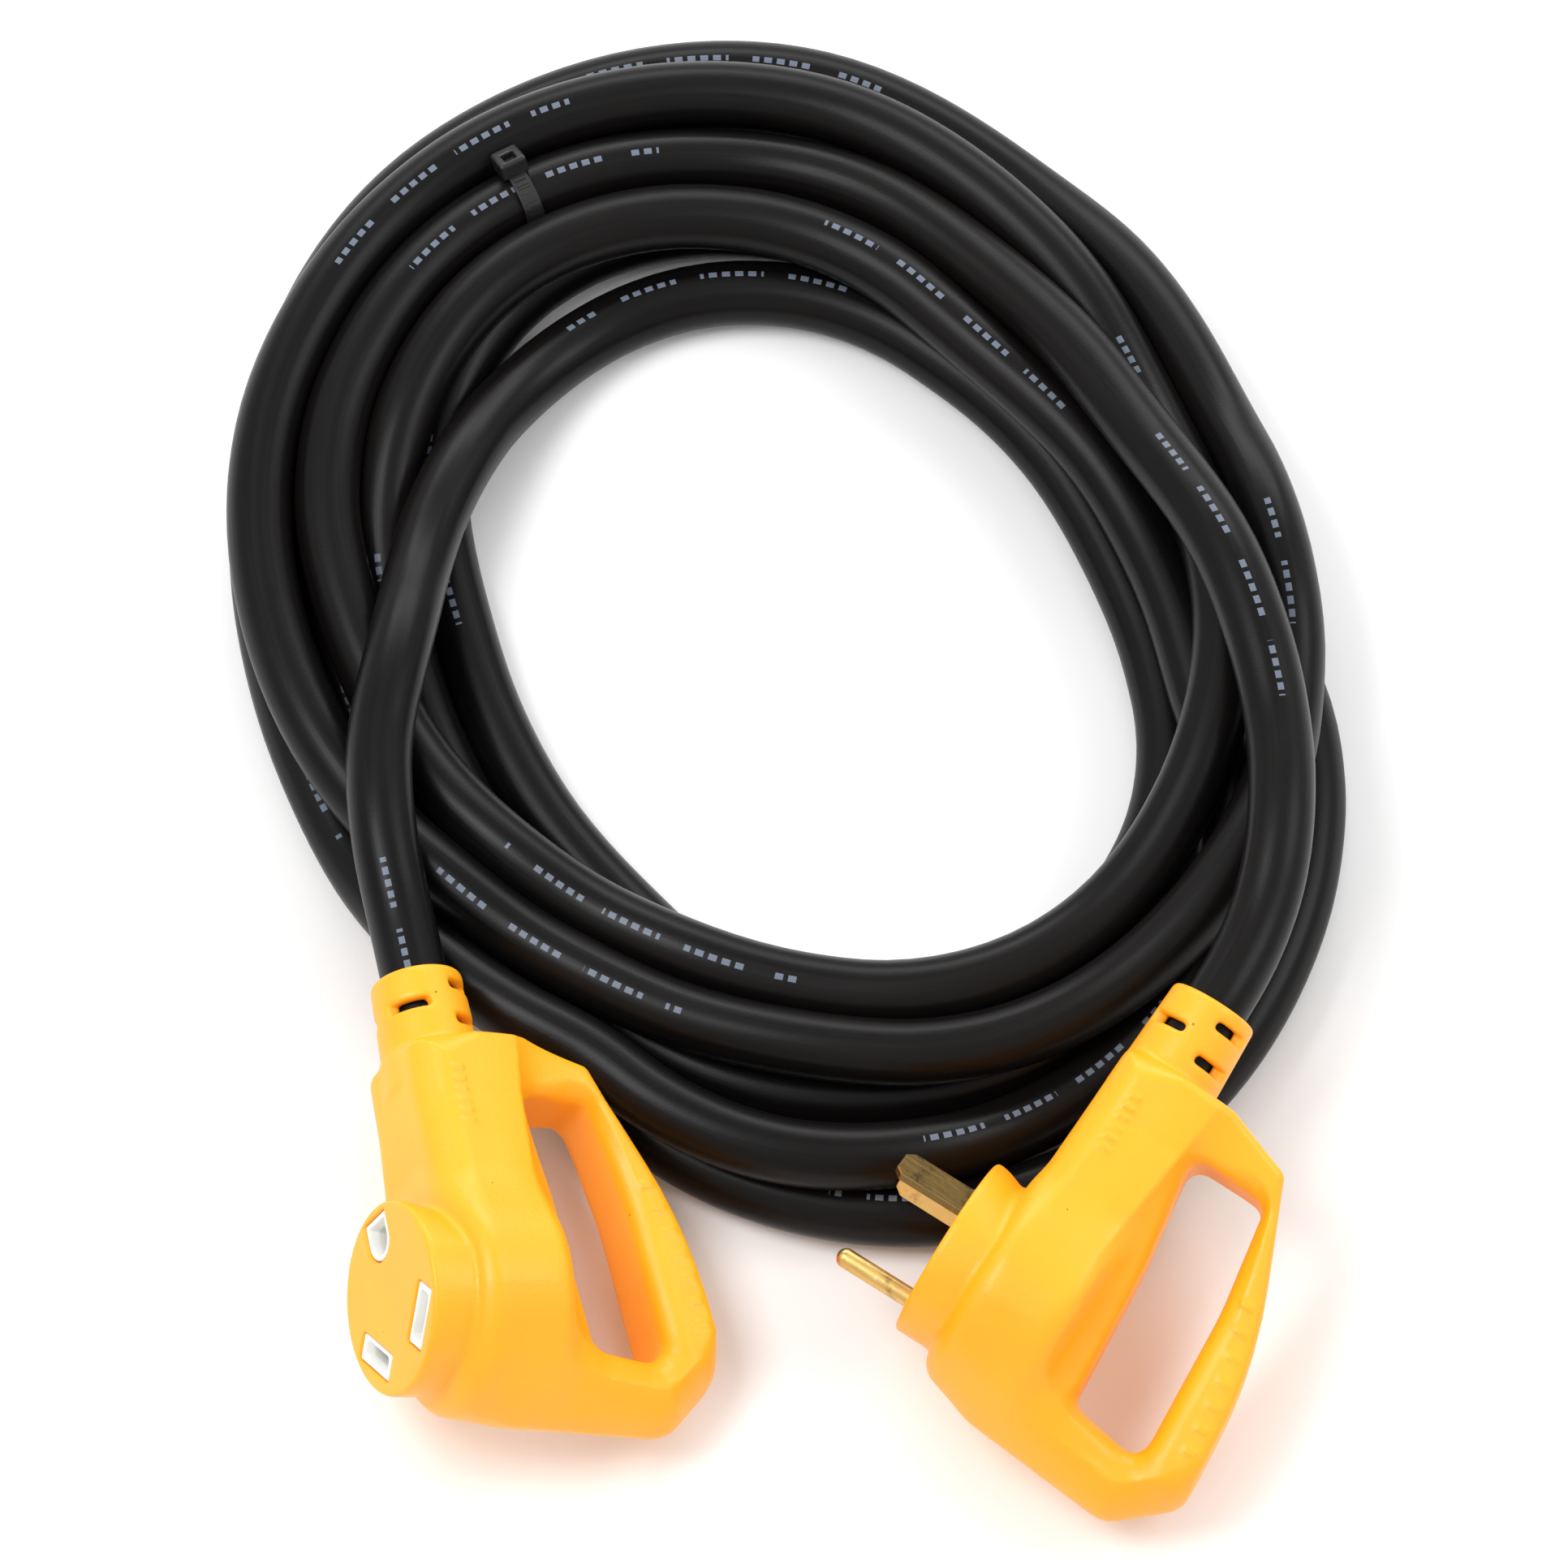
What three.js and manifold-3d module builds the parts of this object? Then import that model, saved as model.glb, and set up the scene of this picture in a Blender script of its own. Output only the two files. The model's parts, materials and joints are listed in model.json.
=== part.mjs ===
// Shore power cord: a coiled rubber cord with a right-angle plug and a matching connector,
// both with a D-shaped pull handle. Millimetres, +Z up, standing on the plane Z = 0.
import * as THREE from 'three';
import { mergeVertices } from 'three/addons/utils/BufferGeometryUtils.js';
import Module from 'manifold-3d';

const wasm = await Module();
wasm.setup();

// ---- driving dimensions -------------------------------------------------------------------

const GAP = 0.3;                      // room between pieces that touch
const CORD_RADIUS = 8;                // 10 AWG three-conductor jacket
const WIRE_RADIUS = 2.3;              // one insulated conductor
const STRAND_RADIUS = 1.5;            // its bare copper end
const CORD_SIDES = 12;
const WIRE_SIDES = 8;

// A housing's own axes: X towards the cord, Y out of the mating face, Z across the handle.
const FACE_RADIUS = 22.8;
const FACE_ROUND = 1.2;
const WALL_Y = -11.4;                 // the body's front wall, which the boss stands on
const SWELL_RADIUS = 25.8;            // the body swells to this behind the boss
const SWELL_DEPTH = 32;
const HANDLE_THICKNESS = 22;
const BODY_THICKNESS = 38;
const HANDLE_ROUND = 5;
const BODY_ROUND = 6;
const CORD_AXIS_Y = -23.4;            // the cord's axis lies this far behind the mating face
const COLLAR_START = 55;
const COLLAR_END = 81.4;
const COLLAR_ROOT_RADIUS = 12.3;
const COLLAR_TIP_RADIUS = 10.9;
const CORD_BORE_RADIUS = CORD_RADIUS + GAP;
const COLLAR_SLOTS = [{ x: 71.8, away: 1 }, { x: 67.2, away: -1 }, { x: 76.5, away: -1 }];
const SLOT_WIDTH = 2.2;               // along the collar
const SLOT_START = 3;                 // from the cord's axis to the slot's near end
const SLOT_DEPTH = 4;                 // from the cord's axis to the slot's floor
const SLOT_REACH = 12;
const JACKET_END = 34;                // the jacket is stripped back to here inside the housing
const CORE_RADIUS = 18.5;
const CORE_BACK = -13;
const CORE_FRONT = -4;

// Contacts, measured from the centre of the mating face. The plug's ground pin is on the side
// away from its cord and the connector's is on the cord side, so the two mate with their cords
// leaving in opposite directions.
const GROUND_OFFSET = 15;
const BLADE_OFFSET = 9.6;
const BLADE_SPREAD = 12;
const BLADE_LEAN = THREE.MathUtils.degToRad(45);
const BLADE_WIDTH = 9.4;
const BLADE_THICKNESS = 1.9;
const PIN_RADIUS = 2.4;
const BLADE_LENGTH = 18.5;
const PIN_LENGTH = 20.5;
const BARREL_Y = -20;                 // the wire barrels' depth behind the face
const BARREL_RADIUS = 2.6;
const BARREL_LENGTH = 9;
const RIM_LENGTH = 15;                // the raised rims of the connector's slots
const RIM_WIDTH = 6.4;
const RIM_BACK = -4.6;
const RIM_FRONT = -0.2;
const GROUND_RIM = 5.2;
const LEAF_THICKNESS = 0.8;           // the connector's sprung contacts
const LEAF_SPACING = 2.9;

// The housing's hollow: the core's pocket and, behind it, a room for the wires.
const POCKET_FRONT = -3.6;
const POCKET_BACK = -26.5;
const WIRE_ROOM = { length: 33, depth: 13, height: 30, y: -22 };
const WIRE_SPREAD = 4.6;              // the conductors' spacing where they leave the jacket

// The cord's coil: the outer shape of its turns, two ovals that lean the same way.
const COIL_HEIGHT = 48;
const ROOM_HEIGHT = 92;               // taller than the coil above any housing's lowest point
const COIL_ROUND = 10;
const COIL_OUTER = { x: -1, y: 43, long: 163, short: 127 };
const COIL_INNER = { x: -4, y: 47, long: 97, short: 77 };
const COIL_LEAN = THREE.MathUtils.degToRad(107);

// Where the two ends lie: the mating face's centre, then turn, tilt and roll in degrees.
const PLUG_PLACE = { at: [37.9, -124.1, 31.4], turn: 56.8, tilt: 12.5, roll: 6.5 };
const CONNECTOR_PLACE = { at: [-91.2, -143.1, 46.6], turn: 101.5, tilt: 0, roll: 27.4 };
const CORD_LEAVES = 86;               // the coil's solid begins this far along a housing's X axis

// The cable tie goes round two turns at the top left of the coil; its head is on top.
const TIE = { x: -62, y: 152, turn: 118, width: 4.8, thickness: 1.4, inner: -14, outer: 16 };
const TIE_HEAD = [8, 7.5, 5.5];
const TIE_TAIL = 6;

const YELLOW = material(0xffb026, 0.42, 0);
const BLACK = material(0x161515, 0.5, 0);
const BRASS = material(0xb98a3c, 0.35, 1);
const WHITE = material(0xe9e6dc, 0.45, 0);
const COPPER = material(0xb5693c, 0.4, 1);
const WIRE_COLOURS = { line: 0x1b1b1b, neutral: 0xe8e8e4, ground: 0x2d7a3a };

function material(color, roughness, metalness) {
  return new THREE.MeshStandardMaterial({ color, roughness, metalness });
}

// ---- solids --------------------------------------------------------------------------------

function solidOf(geometry) {
  geometry.deleteAttribute('normal');
  geometry.deleteAttribute('uv');
  const merged = mergeVertices(geometry, 1e-4);
  const corners = merged.index.array;
  const triangles = [];
  for (let i = 0; i < corners.length; i += 3) {
    const [a, b, c] = corners.slice(i, i + 3);
    if (a !== b && b !== c && c !== a) triangles.push(a, b, c);
  }
  return new wasm.Manifold(new wasm.Mesh({
    numProp: 3,
    vertProperties: new Float32Array(merged.attributes.position.array),
    triVerts: new Uint32Array(triangles),
  }));
}

function geometryOf(solid) {
  const mesh = solid.getMesh();
  const geometry = new THREE.BufferGeometry();
  geometry.setAttribute('position', new THREE.BufferAttribute(mesh.vertProperties, 3));
  geometry.setIndex(new THREE.BufferAttribute(mesh.triVerts, 1));
  geometry.computeVertexNormals();
  return geometry;
}

function join(...parts) {
  return parts.map(solidOf).reduce((sum, part) => sum.add(part));
}

function cut(solid, ...tools) {
  return tools.reduce((rest, tool) => rest.subtract(solidOf(tool)), solid);
}

function boxAt(sizeX, sizeY, sizeZ, x, y, z) {
  return new THREE.BoxGeometry(sizeX, sizeY, sizeZ).translate(x, y, z);
}

// A rod along Y from y0 to y1.
function rodAlongY(radius, y0, y1, segments = 24) {
  return turned([[0, y0], [radius, y0], [radius, y1], [0, y1]], segments);
}

function rodAlongX(radius, x0, x1, y, z, segments = 24) {
  return rodAlongY(radius, x0, x1, segments).rotateZ(-Math.PI / 2).translate(0, y, z);
}

function turned(profile, segments) {
  return new THREE.LatheGeometry(profile.map(([r, y]) => new THREE.Vector2(r, y)), segments);
}

// An outline in the XY plane, made thick about Z = 0, with its edges rounded inwards.
function slab(shape, thickness, round, curveSegments = 6) {
  const geometry = new THREE.ExtrudeGeometry(shape, {
    depth: thickness - 2 * round,
    bevelEnabled: round > 0,
    bevelThickness: round,
    bevelSize: round * 0.8,
    bevelOffset: -round * 0.8,
    bevelSegments: 3,
    curveSegments,
  });
  return geometry.translate(0, 0, round - thickness / 2);
}

function tube(points, radius, sides, steps) {
  const section = new THREE.Shape();
  for (let i = 0; i < sides; i += 1) {
    const angle = (i / sides) * 2 * Math.PI;
    const x = radius * Math.cos(angle);
    const y = radius * Math.sin(angle);
    if (i === 0) section.moveTo(x, y);
    else section.lineTo(x, y);
  }
  const path = new THREE.CatmullRomCurve3(points.map((p) => new THREE.Vector3(...p)));
  return new THREE.ExtrudeGeometry(section, { steps, extrudePath: path, bevelEnabled: false });
}

function mesh(name, geometry, look) {
  const made = new THREE.Mesh(geometry, look);
  made.name = name;
  return made;
}

// ---- housing, the same moulding at both ends -----------------------------------------------

function handleOutline() {
  const outline = new THREE.Shape();
  outline.moveTo(61.5, -12.6);
  outline.lineTo(20, -10.6);
  outline.lineTo(-24, -11.4);
  outline.lineTo(-32, -24);
  outline.splineThru([[-34.5, -42], [-35.2, -60], [-32, -71], [-24, -77], [-12, -78]].map(point2));
  outline.splineThru([[6, -76.6], [22, -72.8], [38, -66.2], [50, -60.6]].map(point2));
  outline.quadraticCurveTo(54.4, -58.8, 55.8, -55);
  outline.lineTo(59.8, -43.2);
  outline.closePath();
  return outline;
}

function gripHole() {
  const hole = new THREE.Shape();
  hole.moveTo(42, -39.4);
  hole.quadraticCurveTo(47.4, -39, 47.4, -45);
  hole.lineTo(46.6, -54);
  hole.quadraticCurveTo(46, -58.6, 40, -60);
  hole.splineThru([[22, -62.9], [4, -64.6], [-12, -65.3]].map(point2));
  hole.quadraticCurveTo(-19.4, -65.4, -19, -60);
  hole.lineTo(-17, -49);
  hole.quadraticCurveTo(-16, -44.8, -11, -44.4);
  hole.lineTo(16, -42.6);
  hole.closePath();
  return hole;
}

function bodyOutline() {
  const outline = new THREE.Shape();
  outline.moveTo(60.5, -13.4);
  outline.lineTo(20, -11.8);
  outline.lineTo(-22, -12.4);
  outline.lineTo(-29, -25);
  outline.lineTo(-26, -37);
  outline.lineTo(-8, -31);
  outline.lineTo(59.5, -36);
  outline.closePath();
  return outline;
}

function point2([x, y]) {
  return new THREE.Vector2(x, y);
}

function housingBlank() {
  const boss = turned([
    [0, -SWELL_DEPTH], [SWELL_RADIUS - BODY_ROUND, -SWELL_DEPTH], [SWELL_RADIUS, -SWELL_DEPTH + BODY_ROUND],
    [SWELL_RADIUS, WALL_Y - BODY_ROUND], [FACE_RADIUS, WALL_Y],
    [FACE_RADIUS, -FACE_ROUND], [FACE_RADIUS - FACE_ROUND, 0], [0, 0],
  ], 48);
  const collar = turned([
    [0, COLLAR_START], [COLLAR_ROOT_RADIUS, COLLAR_START], [COLLAR_TIP_RADIUS, COLLAR_END - 1.5],
    [COLLAR_TIP_RADIUS - 1.2, COLLAR_END], [0, COLLAR_END],
  ], 32).rotateZ(-Math.PI / 2).translate(0, CORD_AXIS_Y, 0);
  const blank = join(slab(handleOutline(), HANDLE_THICKNESS, HANDLE_ROUND, 5),
    slab(bodyOutline(), BODY_THICKNESS, BODY_ROUND, 5), boss, collar);
  return cut(blank, slab(gripHole(), BODY_THICKNESS + 2, 0, 5), ...collarWindows());
}

// Slots through the collar's wall that let it flex. They open away from the middle of the collar's
// top and bottom, the way the mould's slides pull.
function collarWindows() {
  const windows = [];
  for (const { x, away } of COLLAR_SLOTS) {
    for (const side of [1, -1]) {
      const window = boxAt(SLOT_WIDTH, SLOT_REACH, SLOT_REACH, x, 0, 0);
      const y = CORD_AXIS_Y + away * (SLOT_START + SLOT_REACH / 2);
      windows.push(window.translate(0, y, side * (SLOT_DEPTH + SLOT_REACH / 2)));
    }
  }
  return windows;
}

// The room inside: the core's pocket, the wiring space behind it and the cord's bore.
function hollowed(blank) {
  const { length, depth, height, y } = WIRE_ROOM;
  return cut(blank,
    rodAlongY(CORE_RADIUS + GAP, POCKET_BACK, POCKET_FRONT, 40),
    boxAt(length, depth, height, length / 2, y, 0),
    rodAlongX(CORD_BORE_RADIUS, JACKET_END - 2, COLLAR_END + 1, CORD_AXIS_Y, 0, 32));
}

function bladeShape(length, y0, side, apex, grow) {
  const blade = new THREE.BoxGeometry(BLADE_WIDTH + grow, length, BLADE_THICKNESS + grow);
  return blade.rotateY(BLADE_LEAN * side * apex).translate(0, y0 + length / 2, 0);
}

// ---- wiring: three insulated conductors and their bare ends in the barrels -----------------

function wiring(prefix, barrels) {
  const meshes = [];
  for (const [use, [x, z]] of Object.entries(barrels)) {
    const mouth = x + BARREL_LENGTH;
    const out = Math.sign(z) * WIRE_SPREAD;
    const route = [
      [JACKET_END - GAP, CORD_AXIS_Y, out], [JACKET_END - 3, CORD_AXIS_Y, out],
      [mouth + 4, BARREL_Y, z], [mouth + 2 * GAP, BARREL_Y, z],
    ];
    const look = material(WIRE_COLOURS[use], 0.5, 0);
    meshes.push(mesh(`${prefix}_${use}_wire`, tube(route, WIRE_RADIUS, WIRE_SIDES, 8), look));
    const strand = rodAlongX(STRAND_RADIUS, x + 2, mouth, BARREL_Y, z, 12);
    meshes.push(mesh(`${prefix}_${use}_strands`, strand, COPPER));
  }
  return meshes;
}

function barrel(x, z) {
  return rodAlongX(BARREL_RADIUS, x, x + BARREL_LENGTH, BARREL_Y, z, 16);
}

function barrelBore(x, z) {
  return rodAlongX(STRAND_RADIUS + GAP, x + 1.5, x + BARREL_LENGTH + 1, BARREL_Y, z, 16);
}

// ---- plug ----------------------------------------------------------------------------------

function buildPlug() {
  const group = placedGroup(PLUG_PLACE);
  const sides = { line: 1, neutral: -1 };

  let housing = hollowed(housingBlank());
  housing = cut(housing, rodAlongY(PIN_RADIUS + GAP, -5, 1, 20).translate(-GROUND_OFFSET, 0, 0));
  let carrier = join(rodAlongY(CORE_RADIUS, CORE_BACK, CORE_FRONT, 40));
  carrier = cut(carrier, rodAlongY(PIN_RADIUS + GAP, -14, -3, 20).translate(-GROUND_OFFSET, 0, 0));

  for (const [use, side] of Object.entries(sides)) {
    const z = side * BLADE_SPREAD;
    const opening = bladeShape(20, -16, side, 1, 2 * GAP).translate(BLADE_OFFSET, 0, z);
    housing = cut(housing, opening);
    carrier = cut(carrier, opening);
    const blade = bladeShape(BLADE_LENGTH - BARREL_Y, BARREL_Y, side, 1, 0).translate(BLADE_OFFSET, 0, z);
    const contact = cut(join(blade, barrel(BLADE_OFFSET, z)), barrelBore(BLADE_OFFSET, z));
    group.add(mesh(`plug_${use}_blade`, geometryOf(contact), BRASS));
  }

  const pin = turned([
    [0, BARREL_Y], [PIN_RADIUS, BARREL_Y], [PIN_RADIUS, PIN_LENGTH - 2.4], [2.0, PIN_LENGTH - 1.1],
    [1.2, PIN_LENGTH - 0.3], [0, PIN_LENGTH],
  ], 20).translate(-GROUND_OFFSET, 0, 0);
  const ground = cut(join(pin, barrel(-GROUND_OFFSET, 0)), barrelBore(-GROUND_OFFSET, 0));
  group.add(mesh('plug_ground_pin', geometryOf(ground), BRASS));

  group.add(mesh('plug_housing', geometryOf(housing), YELLOW));
  group.add(mesh('plug_contact_carrier', geometryOf(carrier), WHITE));
  group.add(...wiring('plug', {
    line: [BLADE_OFFSET, BLADE_SPREAD],
    neutral: [BLADE_OFFSET, -BLADE_SPREAD],
    ground: [-GROUND_OFFSET, 0],
  }));
  return group;
}

// ---- connector -----------------------------------------------------------------------------

// A slot's raised rim on the core, which fills the opening in the housing's face.
function bladeRim(grow, y0, y1, side) {
  return leanTo(boxAt(RIM_LENGTH + grow, y1 - y0, RIM_WIDTH + grow, 0, (y0 + y1) / 2, 0), side);
}

// The ground slot's outline: flat towards the cord, round towards the blades.
function groundRim(radius, y0, y1) {
  const outline = new THREE.Shape();
  outline.moveTo(radius, -radius);
  outline.lineTo(radius, radius);
  outline.absarc(0, 0, radius, Math.PI / 2, 1.5 * Math.PI, false);
  outline.closePath();
  const rim = new THREE.ExtrudeGeometry(outline, { depth: y1 - y0, bevelEnabled: false, curveSegments: 10 });
  return rim.rotateX(-Math.PI / 2).translate(GROUND_OFFSET, y0, 0);
}

function buildConnector() {
  const group = placedGroup(CONNECTOR_PLACE);
  const sides = { line: 1, neutral: -1 };
  const barrelX = { line: -BLADE_OFFSET, neutral: -BLADE_OFFSET, ground: GROUND_OFFSET };

  let housing = hollowed(housingBlank());
  housing = cut(housing, groundRim(GROUND_RIM + GAP, -5, 1));
  let core = join(rodAlongY(CORE_RADIUS, CORE_BACK, CORE_FRONT, 40), groundRim(GROUND_RIM, RIM_BACK, RIM_FRONT));
  for (const side of Object.values(sides)) {
    housing = cut(housing, bladeRim(2 * GAP, -5, 1, side));
    core = core.add(solidOf(bladeRim(0, RIM_BACK, RIM_FRONT, side)));
  }
  core = cut(core, groundRim(3.4, -14, 1));

  for (const [use, side] of Object.entries(sides)) {
    const z = side * BLADE_SPREAD;
    core = cut(core, bladeShape(20, -16, side, -1, 0.8).translate(-BLADE_OFFSET, 0, z));
    core = cut(core, springPocket(side));
    group.add(mesh(`connector_${use}_contact`, geometryOf(springContact(side)), BRASS));
  }
  group.add(mesh('connector_ground_contact', geometryOf(groundContact()), BRASS));
  group.add(mesh('connector_housing', geometryOf(housing), YELLOW));
  group.add(mesh('connector_core', geometryOf(core), WHITE));
  group.add(...wiring('connector', {
    line: [barrelX.line, BLADE_SPREAD],
    neutral: [barrelX.neutral, -BLADE_SPREAD],
    ground: [barrelX.ground, 0],
  }));
  return group;
}

// Turns a piece to a blade's slant and moves it to the blade's slot.
function leanTo(geometry, side) {
  return geometry.rotateY(-BLADE_LEAN * side).translate(-BLADE_OFFSET, 0, side * BLADE_SPREAD);
}

function springPocket(side) {
  return leanTo(boxAt(10.6, 8, LEAF_SPACING + 2 * LEAF_THICKNESS + 2 * GAP, 0, -10.5, 0), side);
}

// Two leaves that grip a blade, on a bridge that carries the wire barrel.
function springContact(side) {
  const half = (LEAF_SPACING + LEAF_THICKNESS) / 2;
  const leaves = [-half, half].map((z) => leanTo(boxAt(9, 10.5, LEAF_THICKNESS, 0, -12.05, z), side));
  const bridge = leanTo(boxAt(9, 1, LEAF_SPACING + 2 * LEAF_THICKNESS, 0, -17.3, 0), side);
  const z = side * BLADE_SPREAD;
  return cut(join(...leaves, bridge, barrel(-BLADE_OFFSET, z)), barrelBore(-BLADE_OFFSET, z));
}

// A round sleeve that grips the ground pin.
function groundContact() {
  const sleeve = rodAlongY(3.05, -BARREL_RADIUS + BARREL_Y, -6, 20).translate(GROUND_OFFSET, 0, 0);
  const bore = rodAlongY(PIN_RADIUS, -17, -5, 20).translate(GROUND_OFFSET, 0, 0);
  return cut(join(sleeve, barrel(GROUND_OFFSET, 0)), bore, barrelBore(GROUND_OFFSET, 0));
}

function placedGroup({ at, turn, tilt, roll }) {
  const group = new THREE.Group();
  group.position.set(...at);
  group.rotation.order = 'ZYX';
  group.rotation.z = THREE.MathUtils.degToRad(turn);
  group.rotation.y = -THREE.MathUtils.degToRad(tilt);
  group.rotation.x = THREE.MathUtils.degToRad(roll);
  return group;
}

// ---- cord and cable tie --------------------------------------------------------------------

function cordEnd(name) {
  const rod = rodAlongX(CORD_RADIUS, JACKET_END, CORD_LEAVES - GAP, CORD_AXIS_Y, 0, 2 * CORD_SIDES);
  return mesh(name, rod, BLACK);
}

// A tall box from x0 to x1 and y0 to y1, standing on the level z0.
function roomAbove(x0, x1, y0, y1, z0) {
  return boxAt(x1 - x0, y1 - y0, ROOM_HEIGHT, (x0 + x1) / 2, (y0 + y1) / 2, z0 + ROOM_HEIGHT / 2);
}

// The room that a housing and its pins take out of the coil's solid.
function housingRoom(place) {
  const group = placedGroup(place);
  group.updateMatrixWorld(true);
  const rooms = [
    roomAbove(-40, CORD_LEAVES, -41, 2, -BODY_THICKNESS / 2 - GAP),
    roomAbove(-41, 64.5, -84.5, -39.5, -HANDLE_THICKNESS / 2 - GAP),
    roomAbove(-SWELL_RADIUS - GAP, SWELL_RADIUS + GAP, -33, 1, -SWELL_RADIUS - GAP),
    roomAbove(-GROUND_OFFSET - 8, GROUND_OFFSET + 8, -2, PIN_LENGTH + 1.5, -BLADE_SPREAD - 7),
  ];
  return rooms.map((room) => room.applyMatrix4(group.matrixWorld));
}

function oval({ x, y, long, short }) {
  const outline = new THREE.Shape();
  outline.absellipse(x, y, long, short, 0, 2 * Math.PI, false, COIL_LEAN);
  return outline;
}

function buildCoil() {
  const solid = slab(oval(COIL_OUTER), COIL_HEIGHT, COIL_ROUND, 28).translate(0, 0, COIL_HEIGHT / 2);
  const middle = slab(oval(COIL_INNER), COIL_HEIGHT + 2, 0, 28).translate(0, 0, COIL_HEIGHT / 2);
  const rooms = [...housingRoom(PLUG_PLACE), ...housingRoom(CONNECTOR_PLACE), ...tieBand(GAP)];
  return mesh('cord_coil', geometryOf(cut(join(solid), middle, ...rooms)), BLACK);
}

function tiePlaced(geometry) {
  return geometry.rotateZ(THREE.MathUtils.degToRad(TIE.turn)).translate(TIE.x, TIE.y, 0);
}

// Four straight runs of strap: under, over, inside and outside the turns.
function tieBand(grow) {
  const span = TIE.outer - TIE.inner;
  const middle = (TIE.outer + TIE.inner) / 2;
  const top = COIL_HEIGHT + GAP;
  const thick = TIE.thickness + 2 * grow;
  const wide = TIE.width + 2 * grow;
  const low = GAP + TIE.thickness / 2;
  return [
    boxAt(span + thick, wide, thick, middle, 0, low),
    boxAt(span + thick, wide, thick, middle, 0, top + TIE.thickness / 2),
    boxAt(thick, wide, top + TIE.thickness - GAP + 2 * grow, TIE.inner, 0, (top + TIE.thickness + GAP) / 2),
    boxAt(thick, wide, top + TIE.thickness - GAP + 2 * grow, TIE.outer, 0, (top + TIE.thickness + GAP) / 2),
  ].map(tiePlaced);
}

function buildTie() {
  const [length, width, height] = TIE_HEAD;
  const seat = COIL_HEIGHT + GAP;
  const head = tiePlaced(boxAt(length, width, height, TIE.outer, 0, seat + height / 2));
  const tailMiddle = TIE.outer + (length + TIE_TAIL) / 2 - 1;
  const tail = tiePlaced(boxAt(TIE_TAIL, TIE.width, TIE.thickness, tailMiddle, 0, seat + height / 2));
  return mesh('cable_tie', geometryOf(join(...tieBand(0), head, tail)), BLACK);
}

// ---- the whole cord, standing on Z = 0 with the middle of its box at X = Y = 0 -------------

function build() {
  const whole = new THREE.Group();
  const plug = buildPlug();
  const connector = buildConnector();
  plug.add(cordEnd('cord_plug_end'));
  connector.add(cordEnd('cord_connector_end'));
  whole.add(plug, connector, buildCoil(), buildTie());
  whole.updateMatrixWorld(true);
  const box = new THREE.Box3().setFromObject(whole, true);
  whole.position.set(-(box.min.x + box.max.x) / 2, -(box.min.y + box.max.y) / 2, -box.min.z);
  return whole;
}

export default build();
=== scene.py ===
"""Shore power cord: the coiled cord, its two moulded ends and the cable tie, built around the CAD frame.

Shapes are worked out in millimetres and become metres when a mesh is made. A moulded piece is a distance
field on a grid, negative inside, which surface_of() turns into a mesh.
"""

import json
import math

import bpy
import numpy as np
from mathutils import Matrix, Vector


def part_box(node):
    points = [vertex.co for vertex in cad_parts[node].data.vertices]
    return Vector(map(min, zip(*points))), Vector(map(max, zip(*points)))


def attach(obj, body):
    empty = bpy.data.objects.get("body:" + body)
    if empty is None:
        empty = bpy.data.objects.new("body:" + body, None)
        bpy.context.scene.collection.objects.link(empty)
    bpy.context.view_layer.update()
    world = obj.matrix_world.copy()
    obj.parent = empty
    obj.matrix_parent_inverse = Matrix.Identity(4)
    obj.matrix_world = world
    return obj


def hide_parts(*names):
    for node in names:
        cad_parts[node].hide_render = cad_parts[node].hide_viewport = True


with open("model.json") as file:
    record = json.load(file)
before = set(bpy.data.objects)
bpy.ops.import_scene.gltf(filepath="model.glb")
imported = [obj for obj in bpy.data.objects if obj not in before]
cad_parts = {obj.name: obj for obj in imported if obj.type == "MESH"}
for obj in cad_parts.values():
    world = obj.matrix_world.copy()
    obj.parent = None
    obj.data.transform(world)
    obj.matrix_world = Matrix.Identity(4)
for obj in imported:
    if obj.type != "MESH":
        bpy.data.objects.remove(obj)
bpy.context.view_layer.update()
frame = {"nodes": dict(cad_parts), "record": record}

MM = 0.001

# ---- driving dimensions, in millimetres ----

CORD_RADIUS = 8.0
CORD_AXIS_Y = -23.4  # in a housing's own axes, the cord's axis lies this far behind the face
JACKET_END = 34.0  # where the jacket ends inside the housing
COLLAR_START = 52.0
COLLAR_END = 81.4
COLLAR_ROOT_RADIUS = 12.3
COLLAR_TIP_RADIUS = 10.9
BORE_RADIUS = 8.2
FACE_RADIUS = 22.8
BOSS_DEPTH = 30.0
HANDLE_HALF = 11.0  # half the handle's thickness
BODY_HALF = 17.5  # half the raised body's thickness by the collar,
SWELL_RADIUS = 26.9  # and the radius of its swell behind the face
CORE_RADIUS = 18.5
GAP = 0.3

GROUND_OFFSET = 15.0
BLADE_OFFSET = 9.6
BLADE_SPREAD = 12.0
BLADE_SIZE = (9.4, 1.9)
BLADE_LENGTH = 18.5
BARREL_Y = -20.0
BLADE_CORNER = 0.3
BLADE_CHAMFER = 1.9
BLADE_EDGE = 0.28
PIN_RADIUS = 2.4
PIN_LENGTH = 20.5
PIN_DOME = 2.2
PIN_SIDES = 40
RIM_SIZE = (15.0, 6.4)
GROUND_RIM = 5.2

# Where the two ends lie: the mating face's centre from the coil's origin, then degrees of turn,
# tilt and roll. A housing's own X axis runs towards the cord, Y out of its face, Z across its handle.
PLUG_PLACE = ((37.9, -124.1, 31.4), 56.8, 12.5, 6.5)
CONNECTOR_PLACE = ((-91.2, -143.1, 46.6), 101.5, 0.0, 27.4)

# The coil's origin, from the CAD coil: its middle is this far left and its back this far behind.
COIL_LEFT = 1.0
COIL_BACK = 203.2

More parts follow.
